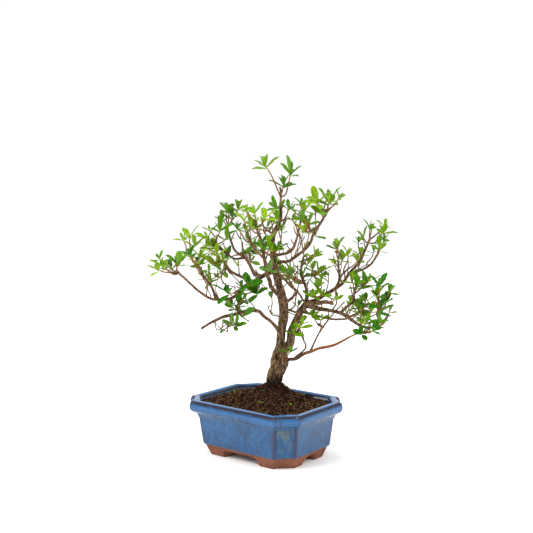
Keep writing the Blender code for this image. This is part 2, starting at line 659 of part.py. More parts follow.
def make_foliage(courses, parts):
    """Every mass, in the light green of young shoots and the deeper one of last year's leaves."""
    blade = leaf_mesh()
    greens = (plain_material("leaf_mid", (0.09, 0.24, 0.04), 0.5),
              plain_material("leaf_light", (0.18, 0.36, 0.06), 0.5),
              plain_material("leaf_deep", (0.03, 0.13, 0.025), 0.5))
    obstacles = np.vstack([dense(course) for course in courses.values()])
    stems = {name: stem_course(mass, courses) for name, mass in MASSES.items()}
    count = 0
    for i, name in enumerate(MASSES):
        for trial in range(FUSE_TRIALS):
            twigs, leaves = plan_mass(name, trial, stems, obstacles)
            body = join_mass(name, stems[name], twigs, leaves, blade, parts)
            if body:
                break
        body.data.materials.clear()
        body.data.materials.append(greens[i % len(greens)])
        count += len(leaves)
        print("%-22s %2d twigs %3d leaves %5d faces %d tries"
              % (name, len(twigs), len(leaves), len(body.data.polygons), trial))
    print("leaves:", count)
    bpy.data.meshes.remove(blade)


def centre_on_footprint(parts):
    """Hang every piece on an empty that puts the middle of the whole footprint at the origin."""
    depsgraph = bpy.context.evaluated_depsgraph_get()
    corners = []
    for item in parts.objects:
        mesh = item.evaluated_get(depsgraph).to_mesh()
        places = np.empty(len(mesh.vertices) * 3)
        mesh.vertices.foreach_get("co", places)
        places = places.reshape(-1, 3)
        corners += [places.min(axis=0), places.max(axis=0)]
    low, high = np.min(corners, axis=0), np.max(corners, axis=0)
    middle = bpy.data.objects.new("footprint_centre", None)
    bpy.context.scene.collection.objects.link(middle)
    middle.location = Vector((-(low[0] + high[0]) / 2, -(low[1] + high[1]) / 2, 0))
    for group in bpy.data.collections:
        for item in group.objects:
            item.parent = middle


def main():
    clear_scene()
    parts = new_collection("rhododendron_bonsai")
    cutters = new_collection("cutters")
    make_pot(parts, cutters)
    make_soil(parts)
    courses = make_limbs(parts, cutters)
    make_foliage(courses, parts)
    centre_on_footprint(parts)
    bpy.context.view_layer.update()


main()
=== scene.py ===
import json
import math
import random
from collections import namedtuple

import bpy
import numpy as np
from mathutils.bvhtree import BVHTree
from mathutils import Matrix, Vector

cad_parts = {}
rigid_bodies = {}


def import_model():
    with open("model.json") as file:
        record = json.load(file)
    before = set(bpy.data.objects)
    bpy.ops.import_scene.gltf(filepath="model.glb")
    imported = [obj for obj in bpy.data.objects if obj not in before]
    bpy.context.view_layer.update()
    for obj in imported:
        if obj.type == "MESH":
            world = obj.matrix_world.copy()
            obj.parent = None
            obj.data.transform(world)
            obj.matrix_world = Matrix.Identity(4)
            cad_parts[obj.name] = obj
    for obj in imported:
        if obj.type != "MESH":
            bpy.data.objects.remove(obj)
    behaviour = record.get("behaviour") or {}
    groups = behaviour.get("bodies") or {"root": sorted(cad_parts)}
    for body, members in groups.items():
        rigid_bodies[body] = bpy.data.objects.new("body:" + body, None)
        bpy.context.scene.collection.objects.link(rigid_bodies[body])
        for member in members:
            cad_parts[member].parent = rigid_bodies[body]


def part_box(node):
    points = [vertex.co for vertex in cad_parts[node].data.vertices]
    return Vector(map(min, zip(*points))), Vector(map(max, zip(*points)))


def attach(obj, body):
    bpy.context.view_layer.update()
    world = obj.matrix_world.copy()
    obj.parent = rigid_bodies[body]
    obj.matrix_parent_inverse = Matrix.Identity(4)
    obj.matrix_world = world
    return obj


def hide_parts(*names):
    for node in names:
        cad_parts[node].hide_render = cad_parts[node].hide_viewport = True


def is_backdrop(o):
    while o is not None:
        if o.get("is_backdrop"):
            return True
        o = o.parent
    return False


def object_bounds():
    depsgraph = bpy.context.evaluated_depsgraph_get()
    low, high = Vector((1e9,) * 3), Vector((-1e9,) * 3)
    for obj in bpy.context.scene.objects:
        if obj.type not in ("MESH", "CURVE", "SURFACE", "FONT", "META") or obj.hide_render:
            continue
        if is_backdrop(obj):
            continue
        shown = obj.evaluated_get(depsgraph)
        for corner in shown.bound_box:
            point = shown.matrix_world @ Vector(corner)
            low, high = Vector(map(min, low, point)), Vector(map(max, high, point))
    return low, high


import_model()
cad_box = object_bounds()

# The studio: a white sweep of paper under the pot, soft light from wide diffusers on both sides and
# above, and a camera a good metre off that looks slightly down on the pot's corner.

MM = 0.001
pot_low, pot_high = (np.array(corner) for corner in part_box("pot"))
POT_MIDDLE = np.array([(pot_low[0] + pot_high[0]) / 2, (pot_low[1] + pot_high[1]) / 2, pot_low[2]])
FRONT_TURN = math.radians(38.2)      # the tree's front, turned from the pot's long side
CAMERA_DIP = math.radians(5.7)
CAMERA_EYE = (1.2, -1025.2, 316.1)   # millimetres: across, away, up from the pot's middle
CAMERA_LENS, CAMERA_SENSOR = 62.07, 36.0
SWEEP_HALF, SWEEP_SQUARES = 3.0, 8   # metres from the sweep's middle to its edge, squares along a side
PAPER = (0.97, 0.97, 0.97)
LIGHT_AIM = 0.2                      # metres: the height that the diffusers face
ROOM_WHITE, ROOM_STRENGTH = (1.0, 1.0, 1.0, 1.0), 1.03


def tree_place(points):
    """Places in millimetres across, away and up from the tree's front, in the frame's metres.

    Across and away turn with the tree's front about the pot's middle, and up is from the pot's foot.
    """
    points = np.asarray(points, dtype=float)
    c, s = math.cos(FRONT_TURN), math.sin(FRONT_TURN)
    across, away, up = points[..., 0], points[..., 1], points[..., 2]
    return np.stack((across * c - away * s, across * s + away * c, up), axis=-1) * MM + POT_MIDDLE


def grid_quads(index):
    """Faces of a grid of vertex numbers: each four neighbours make one."""
    return np.stack((index[:-1, :-1], index[:-1, 1:], index[1:, 1:], index[1:, :-1]), axis=-1).reshape(-1, 4)


def piece_of(name, places, faces, body="root", smooth=True):
    """One mesh from places in metres and each face's vertex numbers, riding on the body if one is given."""
    mesh = bpy.data.meshes.new(name)
    mesh.from_pydata(places.reshape(-1, 3).tolist(), [], faces)
    mesh.update()
    if smooth:
        mesh.shade_smooth()
    piece = bpy.data.objects.new(name, mesh)
    bpy.context.scene.collection.objects.link(piece)
    if body:
        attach(piece, body)
    return piece


def surface(name, grids, closed=True, body="root", smooth=True):
    """One mesh of grids of places in metres, rows by columns: each four neighbours make a face.

    A closed grid's last column joins its first, and one face caps its first row and one its last.
    """
    faces, start = [], 0
    for grid in grids:
        rows, columns = grid.shape[:2]
        index = start + np.arange(rows * columns).reshape(rows, columns)
        faces += grid_quads(np.hstack((index, index[:, :1])) if closed else index).tolist()
        if closed:
            faces += [index[0, ::-1].tolist(), index[-1].tolist()]
        start += index.size
    return piece_of(name, np.concatenate([grid.reshape(-1, 3) for grid in grids]), faces, body, smooth)


class Socket:
    """An output in a finish, with number arithmetic: each operator adds the Math node that does it."""

    def __init__(self, finish, output):
        self.finish = finish
        self.output = output

    def __add__(self, other):
        """This output plus the other."""
        return self.finish.math("ADD", self, other)

    __radd__ = __add__

    def __sub__(self, other):
        """This output less the other."""
        return self.finish.math("SUBTRACT", self, other)

    def __rsub__(self, other):
        """The other, such as 1, less this output."""
        return self.finish.math("SUBTRACT", other, self)

    def __mul__(self, other):
        """This output times the other."""
        return self.finish.math("MULTIPLY", self, other)

    __rmul__ = __mul__

    def band(self, low, high):
        """0 below low, 1 above high, and a smooth rise between them."""
        ends = {0: self, 1: low, 2: high}
        return self.finish.put("ShaderNodeMapRange", {"interpolation_type": "SMOOTHSTEP"}, ends)


class Finish:
    """A material on one shader with constants by name, whose other nodes are put in one by one."""

    def __init__(self, name, **constants):
        self.material = bpy.data.materials.new(name)
        self.material.use_nodes = True
        self.tree = self.material.node_tree
        for key, value in constants.items():
            self.shade(key.replace("_", " "), value)

    def put(self, kind, settings, sockets, output=0):
        """Add a node of a kind, set its settings, then feed its sockets by number or name. Give an output."""
        node = self.tree.nodes.new(kind)
        for key, value in settings.items():
            setattr(node, key, value)
        for key, value in sockets.items():
            self.feed(node.inputs[key], value)
        return Socket(self, node.outputs[output])

    def feed(self, target, value):
        """Link an output to a socket, or set the socket's own value. A colour's three numbers get alpha 1."""
        if isinstance(value, Socket):
            self.tree.links.new(value.output, target)
        elif target.type == "RGBA":
            target.default_value = (*value, 1.0)
        else:
            target.default_value = value

    def shade(self, socket, value):
        """Feed one of the shader's sockets, by its name."""
        self.feed(self.tree.nodes["Principled BSDF"].inputs[socket], value)

    def math(self, operation, *values):
        """The result of one Math node on values in their order."""
        return self.put("ShaderNodeMath", {"operation": operation}, dict(enumerate(values)))

    def place(self):
        """Where each point is, in the piece's own metres."""
        return self.put("ShaderNodeTexCoord", {}, {}, "Object")

    def height(self):
        """How far each point is above the pot's foot, in millimetres."""
        level = self.put("ShaderNodeSeparateXYZ", {}, {0: self.place()}, "Z")
        return (level - float(POT_MIDDLE[2])) * (1 / MM)

    def own(self, attribute):
        """The number that the mesh holds under a name for each of its vertices or faces."""
        return self.put("ShaderNodeAttribute", {"attribute_name": attribute}, {}, "Fac")

    def noise(self, scale, detail, rough, upright=1.0):
        """Cloudy noise with about `scale` humps a metre, drawn out upwards where `upright` is under 1."""
        where = self.put("ShaderNodeMapping", {}, {"Vector": self.place(), "Scale": (1.0, 1.0, upright)})
        sockets = {"Vector": where, "Scale": scale, "Detail": detail, "Roughness": rough}
        return self.put("ShaderNodeTexNoise", {}, sockets)

    def blend(self, share, first, second):
        """A colour that goes from first to second as share goes from 0 to 1."""
        return self.put("ShaderNodeMix", {"data_type": "RGBA"}, {0: share, 6: first, 7: second}, 2)

    def bump(self, height, strength, distance):
        """Relief that rises by a distance in metres as the height goes from 0 to 1."""
        sockets = {"Height": height, "Strength": strength, "Distance": distance}
        self.shade("Normal", self.put("ShaderNodeBump", {}, sockets))


def dress(piece, finish):
    """Give a piece its one finish."""
    piece.data.materials.clear()
    piece.data.materials.append(finish.material)


sweep_lines = np.linspace(-SWEEP_HALF, SWEEP_HALF, SWEEP_SQUARES + 1)
sweep_x, sweep_y = np.meshgrid(sweep_lines, sweep_lines)
sweep = surface("paper_sweep", [np.stack((sweep_x, sweep_y, 0 * sweep_x), axis=-1)], closed=False, body=None)
sweep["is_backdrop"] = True
dress(sweep, Finish("white_paper", Base_Color=PAPER, Roughness=1.0))


def diffuser(name, turn, rise, distance, size, watts):
    """A square soft box that faces the crown, `turn` degrees right of the camera and `rise` degrees up."""
    light = bpy.data.lights.new(name, "AREA")
    light.size = size
    light.energy = watts
    lamp = bpy.data.objects.new(name, light)
    heading, lift = FRONT_TURN + math.radians(turn), math.radians(rise)
    out = distance * math.cos(lift)
    lamp.location = (out * math.sin(heading), -out * math.cos(heading), LIGHT_AIM + distance * math.sin(lift))
    lamp.rotation_euler = (math.pi / 2 - lift, 0, heading)
    bpy.context.scene.collection.objects.link(lamp)


diffuser("left_diffuser", turn=-62, rise=38, distance=1.6, size=0.9, watts=20.0)
diffuser("right_diffuser", turn=58, rise=32, distance=1.7, size=0.9, watts=11.0)
diffuser("top_diffuser", turn=170, rise=78, distance=1.7, size=1.4, watts=14.0)
room = bpy.data.worlds.new("white_room")
room.use_nodes = True
room_light = room.node_tree.nodes["Background"].inputs
room_light["Color"].default_value = ROOM_WHITE
room_light["Strength"].default_value = ROOM_STRENGTH
bpy.context.scene.world = room
bpy.context.scene.view_settings.view_transform = "Standard"

camera = bpy.data.objects.new("camera", bpy.data.cameras.new("camera"))
camera.data.lens = CAMERA_LENS
camera.data.sensor_width = CAMERA_SENSOR
camera.location = tree_place(CAMERA_EYE)
camera.rotation_euler = (math.pi / 2 - CAMERA_DIP, 0, FRONT_TURN)
bpy.context.scene.collection.objects.link(camera)
bpy.context.scene.camera = camera

# The pot: a press-moulded stoneware tray with cut, stepped corners, a rolled rim and a foot ring with
# bracket-shaped openings. It is glazed cobalt blue down to a bare band, and fired upright on its feet.

POT_LENGTH, POT_WIDTH, POT_HEIGHT = 155.0, 121.0, 63.2
RIM_CUT, FOOT_CUT = (17.0, 20.0), (14.7, 15.0)   # each corner's cut along the long and the short side
FOOT_INSET, CORNER_STEP = 17.5, 3.5  # the foot inside the rim, and how far a cut's panel is set in
CORNER_REVEAL = 0.12                 # the share of a cut that is left at each end of its panel
RECESS, FOOT_WALL = 9.8, 8.0
ARCH_RISE, LONG_ARCH, SHORT_ARCH = 9.0, 23.5, 11.0   # the arches' height, and half their spans
ARCH_DEPTH = 4.5                     # how far in from its side's face an arch lifts the foot
DRAIN_RADIUS, DRAIN_OFFSET, DRAIN_SIDES = 5.0, 26.0, 32
DRAIN_FROM, FLOOR_TOP = 2.0, 14.5    # the cut's two ends, the first in the open recess
GLAZE_LINE, FOOT_TOP = 12.8, 12.2
STEPS_PER_MM, PROFILE_SPACING = 1.3, 1.6
WALL_ROUNDING, FOOT_ROUNDING = 2, 5  # neighbours on either side that soften the outline's corners
GLAZE_DEEP, GLAZE_MID, GLAZE_PALE = (0.004, 0.040, 0.112), (0.007, 0.068, 0.176), (0.025, 0.155, 0.36)
RIM_HIGHLIGHT_BLUE, EDGE_PURPLE = (0.035, 0.185, 0.50), (0.020, 0.016, 0.052)
BREAK_BROWN, IRON_SPOT, OCHRE = (0.016, 0.006, 0.008), (0.030, 0.014, 0.012), (0.17, 0.17, 0.055)
BARE_CLAY, CLAY_DARK = (0.25, 0.105, 0.066), (0.13, 0.05, 0.034)


def pot_place(points):
    """Places in millimetres along the pot's sides and up from its foot, in the frame's metres."""
    return points * MM + POT_MIDDLE


def pot_corners(inset, step):
    """The sixteen corners of the pot's plan at each inset inside the rim, counter-clockwise.

    Each of the four corners is cut off straight between its two ends, and most of the cut is set in by
    the step. The cuts shrink evenly from the rim to the foot.
    """
    inset, step = np.asarray(inset, float), np.asarray(step, float)
    half_length, half_width = POT_LENGTH / 2 - inset, POT_WIDTH / 2 - inset
    share = inset / FOOT_INSET
    cut_x = RIM_CUT[0] + (FOOT_CUT[0] - RIM_CUT[0]) * share
    cut_y = RIM_CUT[1] + (FOOT_CUT[1] - RIM_CUT[1]) * share
    long_end = np.stack((half_length - cut_x, -half_width), axis=-1)
    short_end = np.stack((half_length, cut_y - half_width), axis=-1)
    along = short_end - long_end
    inward = np.stack((-along[..., 1], along[..., 0]), axis=-1)
    inward = inward / np.linalg.norm(inward, axis=-1, keepdims=True) * step[..., None]
    corner = np.stack((long_end, long_end + along * CORNER_REVEAL + inward,
                       short_end - along * CORNER_REVEAL + inward, short_end), axis=-2)
    back = corner[..., ::-1, :]
    return np.concatenate((corner, back * (1, -1), corner * (-1, -1), back * (-1, 1)), axis=-2)


rim_corners = pot_corners(0.0, CORNER_STEP)
FOLDS = [0, 3, 4, 7, 8, 11, 12, 15]      # the corners where a cut meets a side
PANELS = [1, 2, 5, 6, 9, 10, 13, 14]     # the corners of the four panels that are set in


def plan_weights(rounding):
    """Weights that turn the sixteen corners into a fine outline with softly rounded corners.

    Each side is cut into equal steps, and the whole ring is then averaged over `rounding` neighbours on
    either side, which rounds a corner and leaves a straight stretch straight.
    """
    here = np.eye(len(rim_corners))
    after = np.roll(here, -1, axis=0)
    lengths = np.linalg.norm(np.roll(rim_corners, -1, axis=0) - rim_corners, axis=1)
    rows = []
    for side, length in enumerate(lengths):
        count = max(3, round(length * STEPS_PER_MM))
        t = (np.arange(count) / count)[:, None]
        rows.append(here[side] * (1 - t) + after[side] * t)
    fine = np.vstack(rows)
    total = sum(np.roll(fine, k, axis=0) for k in range(-rounding, rounding + 1))
    return total / (2 * rounding + 1)


def bracket_arch(distance, half_span):
    """Height of a foot opening at a distance from its middle: a bracket whose ends curve like a paw."""
    run = np.array((0.0, 0.5, 1.4, 2.6, 3.8, 4.6, 5.6, 7.4, half_span)) - half_span
    rise = np.array((0.0, 0.14, 0.38, 0.62, 0.86, 0.90, 0.93, 1.0, 1.0)) * ARCH_RISE
    return np.interp(-np.abs(distance), run, rise, left=0.0)


# Height, inset and corner step down the inside of the foot ring, under it, up the outside, over the rim
# and down the inner wall. The foot's lower edge, which the arches lift, is marked by heights under 0: they
# are EDGE_MARK too low.
EDGE_MARK = 1.0
EDGE_ROW = 8                         # a row of the fine profile on that edge
pot_profile = np.array((
    (RECESS, FOOT_INSET + FOOT_WALL, 0.0), (3.4, 25.2, 0.4), (-1.0, 24.6, 0.8), (-1.0, 22.0, 1.6),
    (-1.0, 18.6, 2.4), (-0.6, 17.3, 2.6), (1.5, 16.6, 2.6), (4.0, 15.6, 2.6), (8.0, 14.0, 2.8),
    (11.0, 12.9, 3.0), (12.4, 12.3, 3.0), (12.9, 11.6, 3.0), (13.6, 11.0, 3.0), (15.0, 10.6, 3.0),
    (24.0, 9.5, 3.1), (34.0, 8.3, 3.3), (42.0, 7.4, 3.5), (44.0, 7.0, 3.5), (44.6, 6.5, 3.5),
    (46.0, 6.0, 3.5), (47.9, 5.1, 3.5), (49.3, 3.8, 3.5), (50.1, 2.2, 3.5), (51.1, 0.7, 3.5),
    (52.6, -0.4, 3.5), (54.8, -1.0, 3.5), (57.3, -1.2, 3.5), (59.6, -0.8, 3.5), (61.2, -0.1, 3.4),
    (62.3, 0.9, 3.2), (62.9, 2.0, 2.9), (POT_HEIGHT, 3.4, 2.6), (POT_HEIGHT, 5.2, 2.0), (63.0, 6.6, 1.4),
    (62.4, 7.9, 0.8), (61.4, 8.7, 0.4), (60.0, 9.4, 0.0), (57.5, 10.5, 0.0), (55.0, 11.5, 0.0),
    (46.0, 12.5, 0.0)))


def fine_profile(rows, spacing):
    """The profile with a row about every `spacing`, evenly set on straight runs between the given ones."""
    fine = []
    for a, b in zip(rows, rows[1:]):
        count = max(1, int(np.abs(b - a)[:2].sum() // spacing))
        fine.append(a + (b - a) * (np.arange(count) / count)[:, None])
    return np.vstack(fine + [rows[-1:]])


profile = fine_profile(pot_profile, PROFILE_SPACING)
level, inset = profile[:, :1], profile[:, 1:2]
corner_rings = pot_corners(profile[:, 1], profile[:, 2])
weights = plan_weights(WALL_ROUNDING)
plan = np.einsum("kc,pcx->pkx", weights, corner_rings)
is_foot = profile[:, 0] < FOOT_TOP
plan[is_foot] = np.einsum("kc,pcx->pkx", plan_weights(FOOT_ROUNDING), corner_rings[is_foot])
foot_x, foot_y = plan[EDGE_ROW].T
long_side = np.abs(foot_y) > np.abs(foot_y).max() - ARCH_DEPTH
short_side = np.abs(foot_x) > np.abs(foot_x).max() - ARCH_DEPTH
edge_lift = np.maximum(np.where(long_side, bracket_arch(foot_x, LONG_ARCH), 0.0),
                       np.where(short_side, bracket_arch(foot_y, SHORT_ARCH), 0.0))
heights = np.where(level < 0, np.maximum(edge_lift, level + EDGE_MARK), level)
heights = np.maximum(heights, np.where(level < RECESS, edge_lift, 0.0))
pot_grid = np.concatenate((plan, heights[..., None]), axis=-1)
pot = surface("glazed_tray", [pot_place(pot_grid)[:, ::-1]])

glaze = Finish("cobalt_glaze_and_bare_clay", Coat_Roughness=0.04, Specular_IOR_Level=0.05)
height = glaze.height()
cloud = glaze.noise(38.0, 3.0, 0.55)
streak = glaze.noise(210.0, 3.0, 0.6, upright=0.5)
speck = glaze.noise(620.0, 2.0, 0.5)
fleck = glaze.noise(900.0, 1.0, 0.5)
stain = glaze.noise(210.0, 2.0, 0.5, upright=0.45)
thin = glaze.own("thin_glaze")
panel = glaze.own("corner_panel")
rim = glaze.own("rim_blue_and_highlight")
edge = glaze.own("corner_edge")
tone = glaze.blend((cloud * 0.5 + streak * 0.5).band(0.34, 0.62), GLAZE_DEEP, GLAZE_MID)
tone = glaze.blend((streak * 0.5 + speck * 0.5).band(0.48, 0.76) * 0.55, tone, GLAZE_PALE)
# Painted highlight: the rim's top and the lip's bulge lighter and bluer, partly the glaze's own blue.
tone = glaze.blend(rim * 0.7, tone, RIM_HIGHLIGHT_BLUE)
ochre_run = (stain + streak * 0.4 + height.band(24.0, 46.0) * 0.16).band(0.72, 1.16)
tone = glaze.blend(panel * ochre_run * 0.62, tone, OCHRE)
tone = glaze.blend((edge + (streak - 0.5) * 0.5).band(0.28, 0.95) * 0.82, tone, EDGE_PURPLE)
tone = glaze.blend(stain.band(0.655, 0.71) * 0.8, tone, IRON_SPOT)
tone = glaze.blend(fleck.band(0.70, 0.76) * 0.85, tone, IRON_SPOT)
wear = (thin + (speck - 0.5) * 1.0 + (streak - 0.5) * 1.5).band(0.42, 0.80)
tone = glaze.blend(wear * 0.94, tone, BREAK_BROWN)
clay = glaze.blend((cloud * 0.4 + speck * 0.6).band(0.35, 0.68), CLAY_DARK, BARE_CLAY)
glazed = (height + (streak - 0.5) * 1.6).band(GLAZE_LINE - 0.25, GLAZE_LINE + 0.25)
glaze.shade("Base Color", glaze.blend(glazed, clay, tone))
glaze.shade("Roughness", 0.86 - glazed * 0.60 + wear * glazed * 0.12)
glaze.shade("Coat Weight", glazed * (0.75 - wear * 0.3))
glaze.bump(speck * 0.5 + cloud * 0.8 + fleck * (1 - glazed) * 0.6, 0.25, 0.0013)
dress(pot, glaze)
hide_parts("pot")


def mark(piece, name, values, domain="POINT"):
    """Store one number for each vertex or each face of a piece, for its finish to read."""
    layer = piece.data.attributes.new(name, "FLOAT", domain)
    layer.data.foreach_set("value", np.ascontiguousarray(values, dtype=np.float32).ravel())


def mark_pot(name, values):
    """Store one number for each place of the pot's grid, whose columns the mesh holds in reverse."""
    mark(pot, name, np.broadcast_to(values, plan.shape[:2])[:, ::-1])


def near(values, middle, width):
    """1 at the middle, fading to 0 at the width on either side."""
    return np.clip(1 - np.abs(values - middle) / width, 0, 1)


# The glaze is thin and brown on edges and in the fold under the lip. The rim's top and the lip's bulge get a
# brighter blue: partly the glaze's own colour, partly a painted highlight.
outside = (level > 12.9) & (inset < 11.5)
lip_line = near(level, 61.7, 3.0) * (inset < 1.8) * outside * 1.25
under_line = np.maximum(near(level, 50.4, 1.0), near(level, 53.0, 0.8) * 0.72) * (inset < 3) * 0.66
step_line = near(level, 44.4, 0.9) * outside * 0.5
lower_line = near(level, 14.0, 1.4) * outside * 0.5
inner_line = near(inset, 9.2, 1.5) * (level > 58) * 1.1
mark_pot("thin_glaze", np.max((lip_line, under_line, step_line, lower_line, inner_line), axis=0))
mark_pot("corner_panel", (weights[:, PANELS].sum(axis=1) > 0.5) * outside * (level < 46))
to_fold = np.linalg.norm((weights @ rim_corners)[:, None] - rim_corners[FOLDS], axis=2).min(axis=1)
mark_pot("corner_edge", near(to_fold, 0.0, 9.5) * outside * (1 - 0.4 * (level > 47)))
rim_blue_and_highlight = np.maximum(near(inset, 4.4, 3.4) * (level > 62), near(level, 56.4, 4.2) * (inset < 1) * 0.36)
mark_pot("rim_blue_and_highlight", rim_blue_and_highlight)


def bore_drain(centre_x):
    """Cut one round drain hole into the pot's underside, as deep as its floor is thick."""
    turn = np.linspace(0, 2 * math.pi, DRAIN_SIDES, endpoint=False)
    ring = np.stack((DRAIN_RADIUS * np.cos(turn) + centre_x, DRAIN_RADIUS * np.sin(turn), 0 * turn), axis=-1)
    wall = np.stack((ring + (0, 0, DRAIN_FROM), ring + (0, 0, FLOOR_TOP)))
    plug = surface("drain_plug", [pot_place(wall)], body=None, smooth=False)
    cut = pot.modifiers.new("drain", "BOOLEAN")
    cut.operation, cut.solver, cut.object = "DIFFERENCE", "EXACT", plug
    done = bpy.data.meshes.new_from_object(pot.evaluated_get(bpy.context.evaluated_depsgraph_get()))
    pot.modifiers.clear()
    pot.data = done
    bpy.data.objects.remove(plug)


bore_drain(DRAIN_OFFSET)
bore_drain(-DRAIN_OFFSET)

# The soil: dark peaty potting mix drawn up into a mound round the trunk, strewn with bark crumbs, root
# fibres, a few grit grains and tufts of moss. It fills the pot to just under the rim.

TRUNK_FOOT = (9.0, 20.0)
SOIL_EDGE, SOIL_SEAT, SEAT_RADIUS = 57.8, 75.9, 11.0
WALL_INSET, SOIL_ROWS, SKIRT_HEIGHT = 10.3, 46, 50.0
RAY_HEIGHT = 0.2                     # metres: well above the soil
WAVES, WAVE_SPREAD = 6, 2.4          # sine waves in each octave, and what brings their sum to about 1
SOIL_DARK, SOIL_BROWN, SOIL_TAN = (0.006, 0.003, 0.002), (0.052, 0.021, 0.011), (0.17, 0.090, 0.050)
soil_rng = np.random.default_rng(31)


def wave_noise(points, scale, seed, octaves):
    """Smooth noise about -1 to 1: sums of sine waves in random directions, finer and weaker each octave."""
    rng = np.random.default_rng(seed)
    total, weight = np.zeros(points.shape[:-1]), 0.0
    for octave in range(octaves):
        for _ in range(WAVES):
            direction = rng.normal(size=points.shape[-1])
            direction *= scale * 2 ** octave / np.linalg.norm(direction)
            total += np.sin(points @ direction + rng.uniform(0, 6.28)) * 0.5 ** octave
        weight += 0.5 ** octave
    return total / (weight * WAVE_SPREAD)


def soil_height(share):
    """Height of the mound, from the wall (0) to the trunk (1): a gentle and a steep power of the share."""
    share = np.clip(share, 0, 1)
    return SOIL_EDGE + (SOIL_SEAT - SOIL_EDGE) * (0.68 * share ** 1.5 + 0.32 * share ** 5)


def from_pot_middle(points):
    """Places given from the tree's front, in millimetres along the pot's sides and up from its foot."""
    return (tree_place(points) - POT_MIDDLE) / MM


foot_xy = from_pot_middle((*TRUNK_FOOT, 0.0))[:2]
edge_ring = weights @ pot_corners(WALL_INSET, 0.0)
bearing = np.arctan2(edge_ring[:, 1] - foot_xy[1], edge_ring[:, 0] - foot_xy[0])
seat_ring = foot_xy + SEAT_RADIUS * np.stack((np.cos(bearing), np.sin(bearing)), axis=-1)
share = np.linspace(0, 1, SOIL_ROWS)[:, None]
soil_xy = edge_ring + (seat_ring - edge_ring) * share[..., None]
rough = wave_noise(soil_xy, 0.5, 3, 3) * 1.1 + wave_noise(soil_xy, 1.9, 5, 2) * 0.6
rough = rough * np.clip(share * 12, 0, 1) * np.clip((1 - share) * 6 + 0.3, 0, 1)   # less at wall and trunk
soil_z = soil_height(share) + rough
soil_top = np.concatenate((soil_xy, soil_z[..., None]), axis=-1)
skirt = np.column_stack((edge_ring, np.full(len(edge_ring), SKIRT_HEIGHT)))[None]
soil = surface("potting_soil_bed", [pot_place(np.concatenate((skirt, soil_top)))])
earth = Finish("peaty_soil", Roughness=1.0, Specular_IOR_Level=0.03)
clump, grain = earth.noise(300.0, 4.0, 0.65), earth.noise(1300.0, 3.0, 0.6)
soil_tone = earth.blend(clump.band(0.40, 0.66), SOIL_DARK, SOIL_BROWN)
soil_tone = earth.blend((grain * 0.7 + clump * 0.3).band(0.60, 0.72) * 0.6, soil_tone, SOIL_TAN)
earth.shade("Base Color", soil_tone)
earth.bump(clump + grain * 0.6, 0.9, 0.0015)
dress(soil, earth)
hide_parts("soil")

soil_tree = BVHTree.FromPolygons([v.co for v in soil.data.vertices], [f.vertices for f in soil.data.polygons])


def soil_under(flat):
    """Heights of the soil bed's top under places given as x and y, in millimetres from the pot's middle."""
    hits = [soil_tree.ray_cast((*(place * MM + POT_MIDDLE[:2]), RAY_HEIGHT), (0, 0, -1))[0] for place in flat]
    return np.array([(hit[2] - POT_MIDDLE[2]) / MM if hit else SOIL_EDGE for hit in hits])


def on_the_soil(count, inner, outer):
    """Random places on the mound, in millimetres from the pot's middle, as x, y and z.

    They lie between two shares of the way from the wall (0) to the trunk (1), evenly by area.
    """
    around = soil_rng.integers(0, len(edge_ring), count)
    inward = 1 - np.sqrt(soil_rng.uniform((1 - outer) ** 2, (1 - inner) ** 2, count))
    flat = edge_ring[around] + (seat_ring[around] - edge_ring[around]) * inward[:, None]
    return np.column_stack((flat, soil_under(flat)))


def joined(name, places, faces, finish, smooth=True):
    """One dressed mesh of many copies with the same faces: places is copies by vertices by 3."""
    starts = np.arange(len(places))[:, None, None] * places.shape[1]
    piece = piece_of(name, places, np.concatenate(np.array(faces) + starts).tolist(), smooth=smooth)
    dress(piece, finish)
    return piece


def crumb_shapes(centres, sizes, rng):
    """Squashed, jittered eight-sided balls: two poles and two rings of four, scaled by size."""
    ring = np.array([(math.cos(a), math.sin(a)) for a in np.arange(4) * math.pi / 2])
    base = np.vstack(([(0, 0, -0.8)], np.column_stack((ring * 0.9, np.full(4, -0.35))),
                      np.column_stack((ring @ ((0.7, 0.7), (-0.7, 0.7)), np.full(4, 0.4))), [(0, 0, 0.85)]))
    shapes = base[None] * rng.uniform(0.6, 1.25, (len(centres), len(base), 3)) * sizes[:, None, :]
    angle = rng.uniform(0, 6.28, len(centres))
    c, s = np.cos(angle)[:, None], np.sin(angle)[:, None]
    x, y = shapes[..., 0] * c - shapes[..., 1] * s, shapes[..., 0] * s + shapes[..., 1] * c
    return np.stack((x, y, shapes[..., 2]), axis=-1) + centres[:, None, :]


# A crumb's vertices are its lower pole (0), a ring of four (1 to 4), another (5 to 8) and its upper pole (9).
ring_pairs = [(k, (k + 1) % 4) for k in range(4)]
CRUMB_FACES = ([(0, 1 + b, 1 + a) for a, b in ring_pairs]
               + [(1 + a, 1 + b, 5 + a) for a, b in ring_pairs]
               + [(5 + a, 1 + b, 5 + b) for a, b in ring_pairs]
               + [(9, 5 + a, 5 + b) for a, b in ring_pairs])

# Each kind's number, its sizes from and to in millimetres, and its colour.
CRUMB_KINDS = {
    "dark_crumbs": (3600, (0.5, 1.5), (0.009, 0.005, 0.004)),
    "brown_crumbs": (2600, (0.35, 1.2), (0.098, 0.043, 0.024)),
    "tan_bark_bits": (560, (0.3, 1.0), (0.26, 0.150, 0.085)),
    "pale_grit": (70, (0.4, 1.0), (0.48, 0.42, 0.33)),
    "moss_tufts": (60, (0.5, 1.3), (0.14, 0.20, 0.03)),
}
for name, (count, span, tint) in CRUMB_KINDS.items():
    sizes = soil_rng.uniform(*span, (count, 1)) * soil_rng.uniform(0.5, 1.0, (count, 3))
    centres = on_the_soil(count, 0.02, 1.0)
    crumb = Finish(name, Roughness=1.0, Specular_IOR_Level=0.03, Base_Color=tint)
    crumbs = pot_place(crumb_shapes(centres, sizes, soil_rng))
    joined(name, crumbs, CRUMB_FACES, crumb, smooth=False)

